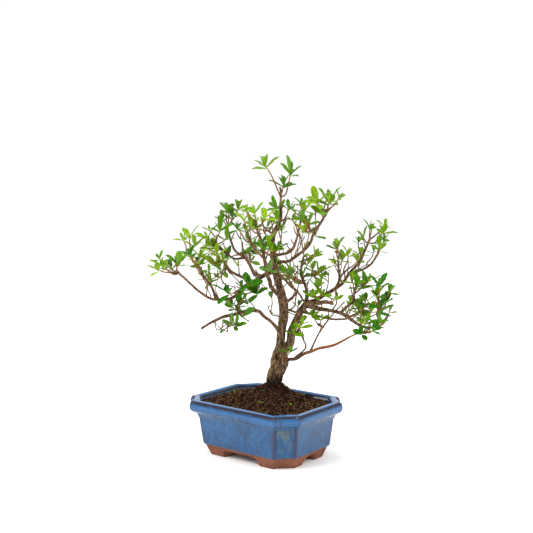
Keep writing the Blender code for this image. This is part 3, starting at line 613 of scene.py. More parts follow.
FIBRE_COUNT, FIBRE_ROWS, FIBRE_LIFT, FIBRE_INSET = 230, 7, 0.3, 11.5
FIBRE_TAN = (0.16, 0.105, 0.050)
WALL_REACH = np.array((POT_LENGTH, POT_WIDTH)) / 2 - FIBRE_INSET   # how far from the middle a fibre may lie
UP = np.array((0.0, 0.0, 1.0))


def strands(starts, bearings, lengths, rise, width, bend):
    """Curved three-sided threads on the soil, each bent evenly aside and arched by `rise` over its length.

    Sideways they go with the square of the way along, and upwards with a parabola. They thin to the tip.
    """
    t = np.linspace(0, 1, FIBRE_ROWS)[None, :, None]
    heading = np.stack((np.cos(bearings), np.sin(bearings), 0 * bearings), axis=-1)[:, None]
    sideways = np.stack((-np.sin(bearings), np.cos(bearings), 0 * bearings), axis=-1)[:, None]
    line = starts[:, None] + lengths[:, None, None] * (heading * t + sideways * bend[:, None, None] * t ** 2)
    flat = np.clip(line[..., :2], -WALL_REACH, WALL_REACH)
    ground = soil_under(flat.reshape(-1, 2)).reshape(len(starts), FIBRE_ROWS, 1)
    line = np.concatenate((flat, ground + FIBRE_LIFT + rise[:, None, None] * 4 * t * (1 - t)), axis=2)
    corner = np.array([(math.cos(a), math.sin(a)) for a in (math.pi / 2, math.pi * 7 / 6, math.pi * 11 / 6)])
    taper = (1 - 0.7 * t ** 2)[..., None] * width[:, None, None, None]
    ring = sideways[:, :, None] * corner[None, None, :, :1] + UP * corner[None, None, :, 1:]
    return (line[:, :, None] + ring * taper).reshape(len(starts), FIBRE_ROWS * 3, 3)


def strand_faces(rows):
    """Faces of a three-sided thread: two triangles on each side of each step, and one across each end."""
    faces = []
    for i in range(0, rows * 3 - 3, 3):
        for a, b in ((i, i + 1), (i + 1, i + 2), (i + 2, i)):
            faces += [(b + 3, b, a), (a + 3, b + 3, a)]
    last = rows * 3 - 1
    return faces + [(0, 1, 2), (last, last - 1, last - 2)]


# The longest bare root surfaces at the trunk's right foot, as the photo shows. It and the random fibres
# each have a start, bearing, length, rise, width and bend.
long_root = (from_pot_middle((17.0, 18.0, 0.0))[None], FRONT_TURN - 0.35, 20.0, 3.2, 0.65, -0.75)
fibre_sizes = (on_the_soil(FIBRE_COUNT, 0.05, 0.98), soil_rng.uniform(0, 6.28, FIBRE_COUNT),
               soil_rng.uniform(4, 13, FIBRE_COUNT), soil_rng.uniform(0.2, 1.4, FIBRE_COUNT),
               soil_rng.uniform(0.12, 0.3, FIBRE_COUNT), soil_rng.uniform(-0.5, 0.5, FIBRE_COUNT))
fibres = strands(*(np.concatenate((some, np.atleast_1d(one))) for some, one in zip(fibre_sizes, long_root)))
dry_fibre = Finish("dry_fibre", Roughness=0.9, Specular_IOR_Level=0.05, Base_Color=FIBRE_TAN)
joined("root_fibres", pot_place(fibres), strand_faces(FIBRE_ROWS), dry_fibre)

# The trunk and limbs: old wood with thin grey-brown bark that flakes in long plates over dark cracks.
# The whole framework is one growth, so each limb runs out of its parent with a swollen collar.

Limb = namedtuple("Limb", "parent thick route")
ROUTE_SPACING, KNUCKLE = 12.0, 0.22  # the second is how far a limb wanders against its thickness

# What the trunk passes from the soil up: across, away, up and its thickness there, in millimetres.
TRUNK = (
    (9, 20, 70, 18.5), (9, 20, 76, 16.4), (12, 19, 87, 16.6), (16, 17, 100, 19.0), (17, 15, 112, 17.2),
    (17, 13, 123, 11.2), (18, 11, 136, 10.6), (21, 8, 160, 9.8), (20, 6, 172, 10.4), (18, 4, 184, 9.2),
    (12, 2, 206, 7.8), (8, 0, 232, 6.4), (9, -1, 250, 5.2), (16, -3, 265, 3.8), (17, -4, 287, 2.8),
)

# Each limb's parent, its thickness where it leaves and where it ends, and the places that it passes:
# across, away and up. The first place only says where on the parent it starts.
LIMBS = {
    "right_stem": Limb("trunk", (8.4, 7.6), ((20, 15, 114), (27, 14, 124), (31, 13, 138),
        (34, 12, 149), (39, 11, 161), (47, 10, 171))),
    "low_left_limb": Limb("trunk", (4.4, 2.6), ((18, 11, 137), (6, 4, 150), (-8, -6, 164),
        (-20, -14, 165), (-37, -24, 163), (-54, -34, 158), (-70, -42, 150))),
    "left_limb": Limb("trunk", (4.6, 3.6), ((12, 2, 210), (-1, -6, 204), (-11, -11, 200),
        (-24, -20, 193))),
    "left_stem": Limb("trunk", (4.6, 2.6), ((19, 5, 176), (7, -14, 192), (1, -34, 217),
        (-3, -52, 241), (-8, -62, 257))),
    "upper_right_bough": Limb("trunk", (3.2, 2.2), ((10, 1, 219), (24, -8, 220), (43, -28, 235),
        (52, -42, 253), (62, -47, 270))),
    "upper_back_bough": Limb("trunk", (3.2, 2.2), ((8, 0, 227), (21, 16, 226), (31, 36, 231),
        (37, 54, 243), (41, 64, 258))),
    "whip": Limb("trunk", (4.0, 2.0), ((16, 17, 102), (34, 4, 108), (43, -2, 115), (60, -14, 123),
        (76, -28, 130), (98, -48, 146))),
    "young_whip": Limb("trunk", (3.2, 2.0), ((20, 6, 168), (31, -8, 180), (34, -14, 188),
        (28, -22, 194), (16, -34, 208), (7, -46, 226))),
    "right_limb": Limb("right_stem", (4.6, 1.8), ((46, 10, 169), (58, 7, 165), (69, 1, 165),
        (84, -8, 162), (96, -16, 155), (114, -24, 148), (128, -28, 153), (135, -30, 164))),
    "right_low_limb": Limb("right_stem", (3.0, 2.2), ((40, 11, 162), (56, 18, 156), (71, 30, 150),
        (90, 44, 147))),
    "right_rise": Limb("right_stem", (4.4, 2.4), ((47, 10, 171), (66, 14, 179), (79, 18, 186),
        (89, 20, 193), (96, 22, 204), (108, 22, 217), (116, 20, 236))),
    "centre_right_stem": Limb("right_stem", (3.6, 2.4), ((46, 10, 170), (47, 19, 181), (45, 32, 192),
        (41, 46, 204), (44, 58, 216))),
    "left_sweep": Limb("left_limb", (3.2, 2.0), ((-23, -19, 194), (-35, -26, 183), (-44, -29, 181),
        (-58, -33, 182), (-71, -37, 190), (-88, -41, 206))),
    "left_inner": Limb("left_limb", (2.6, 2.0), ((-13, -12, 199), (-27, -8, 203), (-38, -5, 209),
        (-44, -3, 216))),
    "upper_left_limb": Limb("left_limb", (3.4, 2.2), ((-4, -8, 203), (-13, 6, 207), (-17, 20, 213),
        (-24, 34, 221), (-36, 45, 229), (-43, 52, 247))),
    "left_riser": Limb("left_sweep", (2.4, 1.8), ((-53, -31, 182), (-60, -25, 196), (-70, -16, 208),
        (-80, -8, 220))),
    "left_mid_bough": Limb("upper_left_limb", (2.4, 1.9), ((-24, 34, 221), (-36, 30, 220),
        (-45, 20, 228), (-53, 12, 236))),
    "right_riser": Limb("right_limb", (2.6, 2.0), ((84, -8, 162), (90, -10, 169), (98, -13, 176),
        (98, -18, 187))),
    "whip_upper": Limb("whip", (2.2, 1.8), ((50, -6, 119), (57, 2, 131), (63, 9, 140))),
    "right_mid_riser": Limb("right_rise", (2.6, 2.0), ((80, 18, 187), (85, 27, 196), (85, 36, 206),
        (85, 43, 214))),
    "right_out_twig": Limb("right_rise", (2.4, 1.9), ((96, 22, 203), (108, 9, 209), (117, -1, 216),
        (123, -9, 226))),
}


def smooth_route(points, spacing):
    """Places about `spacing` apart on a smooth curve through the points (Catmull and Rom's rule)."""
    p = np.array(points, dtype=float)
    p = np.vstack((2 * p[0] - p[1], p, 2 * p[-1] - p[-2]))
    route = [p[1:2]]
    for a, b, c, d in zip(p, p[1:], p[2:], p[3:]):
        count = max(1, round(np.linalg.norm(c[:3] - b[:3]) / spacing))
        t = (np.arange(1, count + 1) / count)[:, None]
        route.append(0.5 * (2 * b + (c - a) * t + (2 * a - 5 * b + 4 * c - d) * t ** 2
                            + (3 * b - a - 3 * c + d) * t ** 3))
    return np.vstack(route)


def dense(course, spacing=0.8):
    """The same course with a row at most every `spacing`, on straight runs."""
    rows = [course[:1]]
    for a, b in zip(course, course[1:]):
        count = max(1, math.ceil(np.linalg.norm(b[:3] - a[:3]) / spacing))
        rows.append(a + (b - a) * (np.arange(1, count + 1) / count)[:, None])
    return np.vstack(rows)


def rooted(route, parent):
    """The route with its first place moved to the nearest one on its parent's centre line."""
    line = dense(courses[parent])[:, :3]
    nearest = line[np.argmin(np.linalg.norm(line - route[0], axis=1))]
    return (tuple(nearest),) + route[1:]


def limb_course(name):
    """A limb's centre line and radii, as rows of across, away, up and radius, with seeded knuckles.

    Each inner place is pushed square to the line by a random share of the limb's thickness.
    """
    if name == "trunk":
        return smooth_route(TRUNK, ROUTE_SPACING) * (1, 1, 1, 0.5)
    rng, limb = random.Random(name), LIMBS[name]
    route = smooth_route(rooted(limb.route, limb.parent), ROUTE_SPACING)
    thickness = limb.thick[0] + (limb.thick[1] - limb.thick[0]) * np.linspace(0, 1, len(route))
    for i in range(1, len(route) - 1):
        push = np.array([rng.uniform(-1, 1) for _ in range(3)])
        along = route[i + 1, :3] - route[i - 1, :3]
        along /= np.linalg.norm(along)
        push -= along * push.dot(along)
        route[i, :3] += push * thickness[i] * KNUCKLE
    return np.column_stack((route, thickness / 2))


courses = {}
for name in ("trunk", *LIMBS):
    courses[name] = limb_course(name)


def pipe_frames(line):
    """Two unit vectors square to a line at each row, carried along it without twist."""
    ahead = np.gradient(line, axis=0)
    ahead /= np.linalg.norm(ahead, axis=1, keepdims=True)
    side = np.cross(ahead[0], (0.31, 0.87, 0.38))
    sides = []
    for direction in ahead:
        side = side - direction * side.dot(direction)
        side = side / np.linalg.norm(side)
        sides.append(side)
    sides = np.array(sides)
    return sides, np.cross(ahead, sides)


def tube(line, radius, around):
    """Rings of places round a centre line: at each row a circle square to it, of the radius given there."""
    side, lift = pipe_frames(line)
    angle = np.linspace(0, 2 * math.pi, around, endpoint=False)[None, :, None]
    ring = side[:, None] * np.cos(angle) + lift[:, None] * np.sin(angle)
    return line[:, None] + ring * radius[..., None]


# The skin's row spacing and sides, its collar's swelling, its relief, and how proud of the solid it stands.
TRUNK_BARK = {"spacing": 0.7, "around": 104, "collar": 0.14, "relief": 0.21, "proud": 1.04}
STOUT_BARK = {"spacing": 1.2, "around": 28, "collar": 0.40, "relief": 0.17, "proud": 1.14}
SLIM_BARK = {**STOUT_BARK, "around": 16}
STOUT_RADIUS, THINNEST = 3.0, 0.35
GRAIN_ALONG, GRAIN_ROUND = 0.16, 2.3   # noise per millimetre along a limb, and the noise circle's radius
GIRTH_UNIT, FRESH_RUN = 9.0, 100.0   # the radius that is marked 1, and the way along a limb that is
BARK_GREY, BARK_BROWN, BARK_RED = (0.290, 0.186, 0.104), (0.134, 0.078, 0.042), (0.165, 0.082, 0.042)
FRESH_RED, FRESH_GREEN = (0.26, 0.095, 0.034), (0.34, 0.28, 0.03)
BARK_CRACK, WET_FOOT, ALGAE = (0.024, 0.014, 0.008), (0.010, 0.007, 0.005), (0.17, 0.155, 0.055)


def bark_skin(course, seed, spacing, around, collar, relief, proud):
    """A limb's skin and its three marks: radius by length and angle, with ridges, knobs and a collar.

    Ridges are noise that is stretched along the limb, knobs are broad swellings, and both are shares of
    the radius. The collar fades with the way from the limb's root, and the last rows close to a point. The
    marks are how cracked a place is, the limb's girth there and the way to it from the root.
    """
    fine = smooth_route(course, spacing)
    girth = np.maximum(fine[:, 3:4], THINNEST) * proud
    steps = np.linalg.norm(np.diff(fine[:, :3], axis=0), axis=1)
    length = np.concatenate(([0], np.cumsum(steps)))[:, None]
    angle = np.linspace(0, 2 * math.pi, around, endpoint=False)
    across, up = np.cos(angle) * GRAIN_ROUND, np.sin(angle) * GRAIN_ROUND
    where = np.stack(np.broadcast_arrays(length * GRAIN_ALONG, across, up), axis=-1)
    ridge = wave_noise(where * (1, 1.6, 1.6), 1.0, seed, 3)
    knob = wave_noise(where * (0.9, 0.5, 0.5), 1.0, seed + 50, 2)
    plates = np.abs(wave_noise(where * (2.2, 2.4, 2.4), 1.0, seed + 90, 2))
    shape = 1 + relief * (0.75 * ridge + 0.55 * knob - 0.5 * plates)
    swell = 1 + collar * np.exp(-np.maximum(length - girth[0], 0) / (girth[0] * 1.8))
    end = np.clip((length[-1] - length) / (girth[-1] * 1.2), 0, 1)
    radius = girth * shape * swell * np.sqrt(1 - (1 - end) ** 2 + 1e-4)
    crack = np.clip(0.5 - 0.9 * ridge + 0.7 * plates, 0, 1)
    marks = np.stack(np.broadcast_arrays(crack, girth / GIRTH_UNIT, length / FRESH_RUN), axis=-1)
    return tube(fine[:, :3], radius, around), marks


bark_grids, bark_marks = [], []
for i, (name, course) in enumerate(courses.items()):
    rule = TRUNK_BARK if name == "trunk" else STOUT_BARK if course[0, 3] > STOUT_RADIUS else SLIM_BARK
    grid, marks = bark_skin(course, 7 if name == "trunk" else 11 + i, **rule)
    bark_grids.append(tree_place(grid))
    bark_marks.append(marks.reshape(-1, 3) * (1, 1, name == "whip"))
wood = surface("bark_framework", bark_grids)
for mark_name, values in zip(("crack", "girth", "fresh"), np.vstack(bark_marks).T):
    mark(wood, mark_name, values)
bark = Finish("flaking_bark", Roughness=0.95, Specular_IOR_Level=0.06)
height = bark.height()
girth = bark.own("girth")
crack = bark.own("crack")
fresh = bark.own("fresh")
flake = bark.noise(420.0, 4.0, 0.7, upright=0.38)
mottle = bark.noise(90.0, 3.0, 0.6)
seam = bark.noise(300.0, 4.0, 0.65, upright=0.35) - 0.5
fissure = 1 - bark.math("ABSOLUTE", seam).band(0.010, 0.075)
grit = bark.noise(1200.0, 2.0, 0.6)
bark_tone = bark.blend((flake * 0.7 + mottle * 0.3).band(0.36, 0.66), BARK_BROWN, BARK_GREY)
bark_tone = bark.blend((1 - girth.band(0.12, 0.34)) * 0.75, bark_tone, BARK_RED)
bark_tone = bark.blend(mottle.band(0.52, 0.72) * girth.band(0.3, 0.8) * 0.3, bark_tone, ALGAE)
open_crack = (fissure * 0.62 + crack * 0.30 + (0.5 - flake) * 1.8).band(0.22, 0.80)
bark_tone = bark.blend(open_crack * 0.92, bark_tone, BARK_CRACK)
bark_tone = bark.blend((1 - (height + mottle * 8.0).band(82.0, 96.0)) * 0.9, bark_tone, WET_FOOT)
bark_tone = bark.blend((fresh + mottle * 0.2).band(0.36, 0.66) * 0.75, bark_tone, FRESH_RED)
bark_tone = bark.blend((fresh + mottle * 0.2).band(1.08, 1.28) * 0.8, bark_tone, FRESH_GREEN)
bark.shade("Base Color", bark_tone)
bark.bump(flake + grit * 0.35 - crack * 0.3, 1.0, 0.0010)
dress(wood, bark)
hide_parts(*courses)

# The shoots: each limb ends in young wood that forks by a seeded rule inside the mass's own space, red
# brown at first and yellow-green at the tips. Fine side twigs and old pruning stubs fill the crown.

Mass = namedtuple("Mass", "limb along centre half rosettes")
Twig = namedtuple("Twig", "limb thick route")
GAP, GOLDEN_ANGLE = 0.3, math.radians(137.5)        # the first is from a limb to a stem on it
STEM_THICKNESS, TWIG_THICKNESS = (2.6, 2.0), (1.8, 1.2)
STEM_REACH = {"from_tip": 0.62, "from_side": 0.8}   # shares of the way to the mass's middle
STEM_BOW, STEM_DROP = 0.42, 0.2      # the bend's share of the way, and the end's drop in half heights
STEM_SPACING, STEM_ROOT = 14.0, 1.5  # the second is how deep in its limb a stem starts
FILLER_TRIES, FILLER_SPACING = 300, (13.0, 7.0)     # spacing of rosettes at the first try and the last
PLANE_CLEARANCE = 1.5                # between a rosette and the next mass's space
SIDE_TWIG_STEP = (17.0, 32.0)        # along a limb, between side twigs
SIDE_TWIG_LENGTH, SIDE_TWIG_RADIUS = (8.0, 18.0), 0.9
LEAFY_LENGTH, LEAFY_SHARE = 11.0, 0.6   # over this length, this share of the side twigs has leaves
BARE_LIMBS = ("whip", "young_whip", "whip_upper", "low_left_limb", "right_low_limb", "left_sweep")
SHOOT_SIDES, SHOOT_SPACING, SHOOT_THINNEST = 7, 1.6, 0.22
SHOOT_BROWN, SHOOT_RED, SHOOT_GREEN = (0.105, 0.060, 0.028), (0.22, 0.092, 0.028), (0.32, 0.34, 0.01)

# Each leaf mass's limb, how far along the limb its stem leaves, its middle, half its size across, away
# and up, and the number of rosettes that its solid has.
MASSES = {
    "top_crown": Mass("trunk", 1.0, (15, -5, 319), (27, 24, 21), 5),
    "upper_right_tip": Mass("upper_right_bough", 1.0, (64, -50, 291), (21, 20, 17), 4),
    "upper_back": Mass("upper_back_bough", 1.0, (44, 68, 277), (15, 18, 15), 3),
    "leader_side": Mass("trunk", 0.88, (26, 22, 271), (12, 14, 14), 2),
    "mid_right_crown": Mass("upper_right_bough", 0.72, (47, -20, 260), (13, 14, 14), 3),
    "top_left_back": Mass("upper_left_limb", 1.0, (-40, 57, 271), (17, 18, 16), 4),
    "top_left_front": Mass("left_stem", 0.62, (-24, -30, 264), (12, 15, 16), 3),
    "front_top": Mass("left_stem", 1.0, (-9, -72, 277), (14, 16, 15), 3),
    "centre_top": Mass("trunk", 0.82, (-4, 22, 262), (12, 13, 12), 2),
    "left_upper": Mass("left_mid_bough", 1.0, (-55, 6, 255), (12, 13, 12), 3),
    "left_outer": Mass("left_riser", 1.0, (-85, -2, 243), (12, 14, 14), 3),
    "left_mid_back": Mass("left_mid_bough", 0.7, (-66, 34, 240), (13, 14, 12), 3),
    "left_mid": Mass("left_riser", 0.72, (-78, -32, 229), (11, 13, 11), 3),
    "left_cluster": Mass("left_inner", 1.0, (-58, 0, 222), (13, 14, 14), 4),
    "far_left": Mass("left_sweep", 1.0, (-104, -46, 221), (20, 18, 13), 5),
    "inner_left": Mass("upper_left_limb", 0.5, (-10, 46, 231), (13, 14, 13), 3),
    "centre_front": Mass("young_whip", 1.0, (5, -58, 240), (14, 14, 13), 4),
    "left_low": Mass("left_limb", 0.55, (-14, -36, 190), (14, 14, 13), 3),
    "left_low_inner": Mass("low_left_limb", 0.52, (-32, -16, 177), (12, 12, 11), 3),
    "left_low_outer": Mass("low_left_limb", 0.62, (-42, -34, 150), (14, 12, 9), 2),
    "fork_sprout": Mass("right_stem", 0.45, (40, -8, 146), (11, 11, 11), 2),
    "trunk_sprout": Mass("trunk", 0.17, (23, -6, 123), (10, 9, 10), 1),
    "centre_right": Mass("centre_right_stem", 0.45, (28, 32, 203), (12, 13, 11), 3),
    "right_mid_back": Mass("centre_right_stem", 1.0, (52, 68, 226), (13, 16, 13), 3),
    "right_mid": Mass("centre_right_stem", 0.6, (62, 38, 205), (12, 13, 11), 3),
    "right_inner": Mass("right_rise", 0.14, (54, -6, 184), (11, 12, 9), 2),
    "right_upper_back": Mass("right_mid_riser", 1.0, (87, 54, 233), (14, 17, 18), 4),
    "right_upper": Mass("right_rise", 0.5, (100, 42, 216), (12, 12, 12), 3),
    "right_top": Mass("right_rise", 1.0, (126, 18, 256), (24, 20, 16), 5),
    "right_out": Mass("right_out_twig", 1.0, (126, -16, 238), (12, 13, 11), 3),
    "right_cluster_top": Mass("right_riser", 1.0, (103, -23, 201), (14, 15, 11), 3),
    "right_cluster_mid": Mass("right_limb", 0.86, (126, -40, 186), (13, 15, 12), 3),
    "right_cluster_low": Mass("right_limb", 0.66, (111, -6, 170), (16, 15, 12), 4),
    "right_cluster_bottom": Mass("whip", 1.0, (114, -57, 151), (16, 15, 12), 4),
    "right_back": Mass("right_low_limb", 1.0, (107, 52, 158), (17, 18, 14), 4),
    "whip_leaves": Mass("whip_upper", 1.0, (58, 12, 155), (13, 13, 12), 2),
}

# The masses that stand out in the photo: how large their leaves are against the usual ones, which are
# deep green, partly as painted shade low in the crown, and how many more rosettes the rule adds for each
# one of the solid.
LARGE_LEAVES = {"top_crown": 1.34, "upper_right_tip": 1.25, "left_low": 1.25}
DEEP_GREEN = ("right_cluster_mid", "right_cluster_low", "right_cluster_bottom", "left_low", "left_low_inner")
CROWDED = ("centre_front", "centre_right", "right_inner", "inner_left", "right_mid", "right_back")
THIN_SET = ("right_upper", "right_upper_back", "fork_sprout", "right_top")
FILLER_SHARES = {"top_crown": 0.0, **dict.fromkeys(CROWDED, 1.7), **dict.fromkeys(THIN_SET, 0.3)}
FILLER_SHARE = 0.6

# Where the photo shows a rosette: across, away and up in millimetres.
ROSETTES = {
    "top_crown": ((0, -14, 328), (28, 4, 320), (20, -4, 308), (13, -8, 282)),
    "upper_right_tip": ((54, -57, 290), (68, -42, 289), (60, -51, 277)),
    "upper_back": ((42, 61, 284), (48, 76, 277)),
    "leader_side": ((26, 17, 281), (19, 28, 258)),
    "mid_right_crown": ((41, -27, 272), (30, -15, 268), (47, -21, 267), (43, -22, 257), (55, -12, 252)),
    "top_left_back": ((-44, 48, 276), (-32, 63, 279), (-39, 56, 270)),
    "top_left_front": ((-24, -35, 271), (-22, -24, 258), (-20, -31, 249)),
    "front_top": ((-11, -78, 279), (0, -67, 274), (-15, -72, 263)),
    "centre_top": ((11, 16, 271), (2, 25, 259)),
    "left_upper": ((-51, 2, 257), (-44, 10, 247)),
    "left_outer": ((-84, -8, 250), (-80, 4, 239)),
    "left_mid_back": ((-67, 30, 245), (-69, 38, 234), (-56, 35, 236)),
    "left_mid": ((-81, -37, 232), (-71, -27, 230), (-72, -33, 221)),
    "left_cluster": ((-54, -4, 230), (-55, 6, 215), (-52, 1, 203), (-61, -1, 201), (-47, 7, 211)),
    "far_left": ((-109, -54, 221), (-101, -41, 218), (-93, -47, 224)),
    "inner_left": ((-24, 39, 227), (-17, 50, 218), (-45, 46, 224)),
    "centre_front": ((6, -65, 240), (5, -52, 217)),
    "left_low": ((-18, -42, 202), (-10, -32, 190), (-41, -35, 191)),
    "left_low_inner": ((-37, -21, 174), (-29, -12, 174), (-25, -16, 162)),
    "left_low_outer": ((-37, -38, 157), (-32, -31, 154)),
    "fork_sprout": ((40, -11, 150), (31, -5, 143)),
    "trunk_sprout": ((28, -5, 120),),
    "centre_right": ((23, 28, 206), (39, 35, 193), (43, 33, 202)),
    "right_mid_back": ((59, 61, 223), (51, 74, 212)),
    "right_mid": ((61, 31, 207), (69, 41, 208)),
    "right_inner": ((53, -12, 185), (58, 0, 193), (79, -7, 180)),
    "right_upper_back": ((85, 48, 237), (91, 61, 218)),
    "right_upper": ((96, 39, 227), (108, 46, 219)),
    "right_top": ((133, 10, 253), (112, 25, 246), (119, 19, 258)),
    "right_out": ((126, -17, 238),),
    "right_cluster_top": ((100, -28, 196), (109, -17, 196), (114, -22, 202), (95, -27, 202)),
    "right_cluster_mid": ((123, -45, 200), (121, -36, 188), (127, -40, 180)),
    "right_cluster_low": ((111, -12, 179), (108, 1, 161), (119, -6, 168), (128, -7, 166), (107, 3, 171)),
    "right_cluster_bottom": ((114, -64, 154), (108, -52, 160), (120, -58, 161)),
    "right_back": (),
    "whip_leaves": ((54, 13, 158),),
}

# Side twigs, stubs and dead knots that the photo shows, with the limb that each leaves, its thickness at
# both ends and the places that it passes.
TWIGS = (
    Twig("low_left_limb", (1.4, 0.5), ((-55, -34, 158), (-53, -35, 148), (-45, -35, 152), (-31, -35, 161))),
    Twig("low_left_limb", (1.1, 0.5), ((-57, -36, 157), (-39, -37, 144), (-34, -38, 146), (-35, -39, 154))),
    Twig("left_limb", (2.6, 2.0), ((-24, -20, 193), (-35, -24, 187))),
    Twig("left_limb", (1.5, 0.8), ((-24, -20, 193), (-40, -14, 210), (-46, -10, 222))),
    Twig("left_sweep", (1.2, 0.8), ((-25, -20, 192), (-38, -25, 195), (-47, -29, 198))),
    Twig("left_limb", (1.3, 0.8), ((-22, -18, 194), (-28, -18, 179), (-34, -18, 164))),
    Twig("left_limb", (1.4, 0.8), ((-8, -10, 201), (-2, -7, 192), (3, -5, 186))),
    Twig("left_sweep", (1.2, 0.7), ((-55, -32, 181), (-58, -36, 193), (-58, -39, 202))),
    Twig("left_sweep", (1.1, 0.7), ((-59, -34, 182), (-62, -33, 192), (-63, -33, 203))),
    Twig("left_sweep", (1.3, 0.7), ((-51, -31, 181), (-54, -30, 191), (-52, -29, 204))),
    Twig("left_sweep", (1.4, 0.8), ((-64, -35, 185), (-64, -40, 199), (-74, -48, 217), (-79, -54, 231))),
    Twig("upper_left_limb", (1.2, 0.8), ((-19, 23, 215), (-17, 20, 246), (-20, 18, 267))),
    Twig("upper_left_limb", (1.2, 0.8), ((-26, 36, 222), (-29, 40, 247), (-33, 43, 264))),
    Twig("left_stem", (1.3, 0.9), ((-2, -48, 236), (0, -49, 249), (0, -49, 260))),
    Twig("trunk", (1.6, 1.3), ((9, -1, 251), (7, 1, 263), (4, 3, 272))),
    Twig("upper_right_bough", (1.5, 0.8), ((31, -14, 224), (36, -19, 239), (37, -22, 251), (30, -26, 266))),
    Twig("upper_right_bough", (1.3, 0.8), ((33, -17, 226), (38, -19, 238), (41, -23, 254))),
    Twig("upper_right_bough", (1.3, 0.8), ((12, 0, 219), (16, -5, 234), (18, -10, 249))),
    Twig("upper_right_bough", (1.2, 0.8), ((25, -9, 221), (20, -9, 231), (17, -8, 246))),
    Twig("upper_right_bough", (1.4, 0.8), ((53, -43, 256), (54, -38, 270), (55, -32, 286))),
    Twig("upper_right_bough", (1.4, 0.8), ((40, -25, 232), (47, -23, 247), (47, -22, 265))),
    Twig("right_rise", (1.6, 1.2), ((116, 20, 236), (120, 22, 248), (121, 24, 255))),
    Twig("right_rise", (1.3, 0.8), ((96, 22, 204), (112, 20, 212), (124, 19, 218), (129, 17, 235))),
    Twig("right_rise", (1.2, 0.8), ((114, 20, 231), (113, 22, 239), (112, 23, 245))),
    Twig("right_rise", (1.5, 1.0), ((69, 15, 181), (71, 10, 196), (72, 6, 209))),
    Twig("right_rise", (1.2, 0.8), ((87, 20, 192), (86, 17, 208), (87, 15, 220))),
    Twig("right_rise", (1.2, 0.7), ((94, 21, 201), (95, 23, 214), (95, 25, 226))),
    Twig("right_stem", (7.0, 3.4), ((46, 10, 169), (56, 6, 171), (67, 4, 173), (77, 4, 171))),
    Twig("right_limb", (1.8, 1.0), ((74, -2, 164), (80, -2, 174), (78, -3, 188))),
    Twig("right_riser", (1.4, 0.8), ((98, -16, 183), (102, -18, 188), (106, -20, 194))),
    Twig("right_limb", (1.5, 0.9), ((96, -15, 156), (110, -19, 170), (120, -21, 174), (122, -24, 188))),
    Twig("right_limb", (1.2, 0.8), ((105, -21, 151), (112, -24, 161), (116, -26, 169))),
    Twig("trunk", (1.5, 1.1), ((21, 7, 164), (29, 6, 160), (36, 4, 158))),
    Twig("whip_upper", (2.0, 1.5), ((67, 9, 147), (77, 8, 159), (90, 8, 173))),
    Twig("trunk", (3.2, 2.4), ((25, 2, 164), (31, 2, 163), (38, 4, 159))),
    Twig("trunk", (2.0, 1.3), ((25, 2, 161), (32, 0, 168), (35, -1, 183), (38, -3, 197))),
    Twig("right_stem", (2.6, 1.7), ((44, 6, 170), (38, 3, 182), (30, 0, 193), (23, -2, 205))),
    Twig("trunk", (1.8, 1.2), ((13, -2, 155), (7, -4, 160), (3, -5, 169))),
    Twig("whip", (2.3, 1.7), ((34, 8, 110), (46, 6, 121), (42, 6, 132), (38, 4, 147))),
    Twig("left_stem", (1.2, 0.8), ((5, -20, 199), (3, -16, 209), (-1, -12, 220))),
    Twig("centre_right_stem", (1.4, 0.9), ((42, 46, 203), (32, 50, 214), (30, 54, 228))),
    Twig("centre_right_stem", (1.3, 0.8), ((44, 56, 214), (51, 53, 219), (58, 50, 223))),
    Twig("centre_right_stem", (1.3, 0.8), ((46, 28, 188), (54, 27, 199), (60, 26, 207))),
    Twig("centre_right_stem", (1.2, 0.8), ((44, 33, 193), (37, 33, 196), (27, 33, 203))),
    Twig("trunk", (1.4, 0.9), ((17, 4, 186), (25, -1, 195), (37, -6, 200))),
    Twig("low_left_limb", (1.3, 0.9), ((-10, -7, 164), (-17, -8, 174), (-27, -9, 177))),
    Twig("low_left_limb", (1.2, 0.8), ((-24, -16, 165), (-30, -14, 170), (-36, -12, 172))),
    Twig("left_limb", (1.6, 1.1), ((-8, -10, 201), (-15, -13, 209), (-18, -16, 220))),
    Twig("left_sweep", (1.4, 0.8), ((-35, -26, 183), (-40, -26, 188), (-40, -25, 198))),
    Twig("left_sweep", (1.2, 0.7), ((-88, -41, 206), (-95, -43, 216), (-94, -45, 223))),
    Twig("left_sweep", (1.1, 0.7), ((-88, -41, 206), (-102, -41, 216), (-101, -40, 221))),
)


def unit(v):
    """A vector of the same direction and length 1."""
    return v / np.linalg.norm(v)


def stem_course(mass):
    """A mass's stem, from its limb to near the middle of the mass, as rows of place and radius.

    It leaves the limb's tip straight ahead, or its side square to it, and bends towards the middle.
    """
    course = courses[mass.limb]
    last = len(course) - 1
    centre = np.array(mass.centre, dtype=float)
    if mass.along >= 1.0:
        heading = unit(course[last, :3] - course[last - 1, :3])
        start = course[last, :3] + heading * GAP
        share = STEM_REACH["from_tip"]
    else:
        place = max(1, round(mass.along * last))
        along = unit(course[place + 1, :3] - course[place - 1, :3])
        heading = centre - course[place, :3]
        heading = unit(heading - along * heading.dot(along))
        start = course[place, :3] + heading * (course[place, 3] + GAP)
        share = STEM_REACH["from_side"]
    reach = np.linalg.norm(centre - start)
    end = start + (centre - start) * share - (0, 0, mass.half[2] * STEM_DROP)
    bend = (start + heading * reach * STEM_BOW) * 0.6 + (start + end) * 0.2
    route = smooth_route((start, bend, end), STEM_SPACING)
    radii = np.linspace(*STEM_THICKNESS, len(route)) / 2
    root = np.array((*(start - heading * (course[-1, 3] + STEM_ROOT)), STEM_THICKNESS[0] / 2))
    return np.vstack((root, np.column_stack((route, radii))))


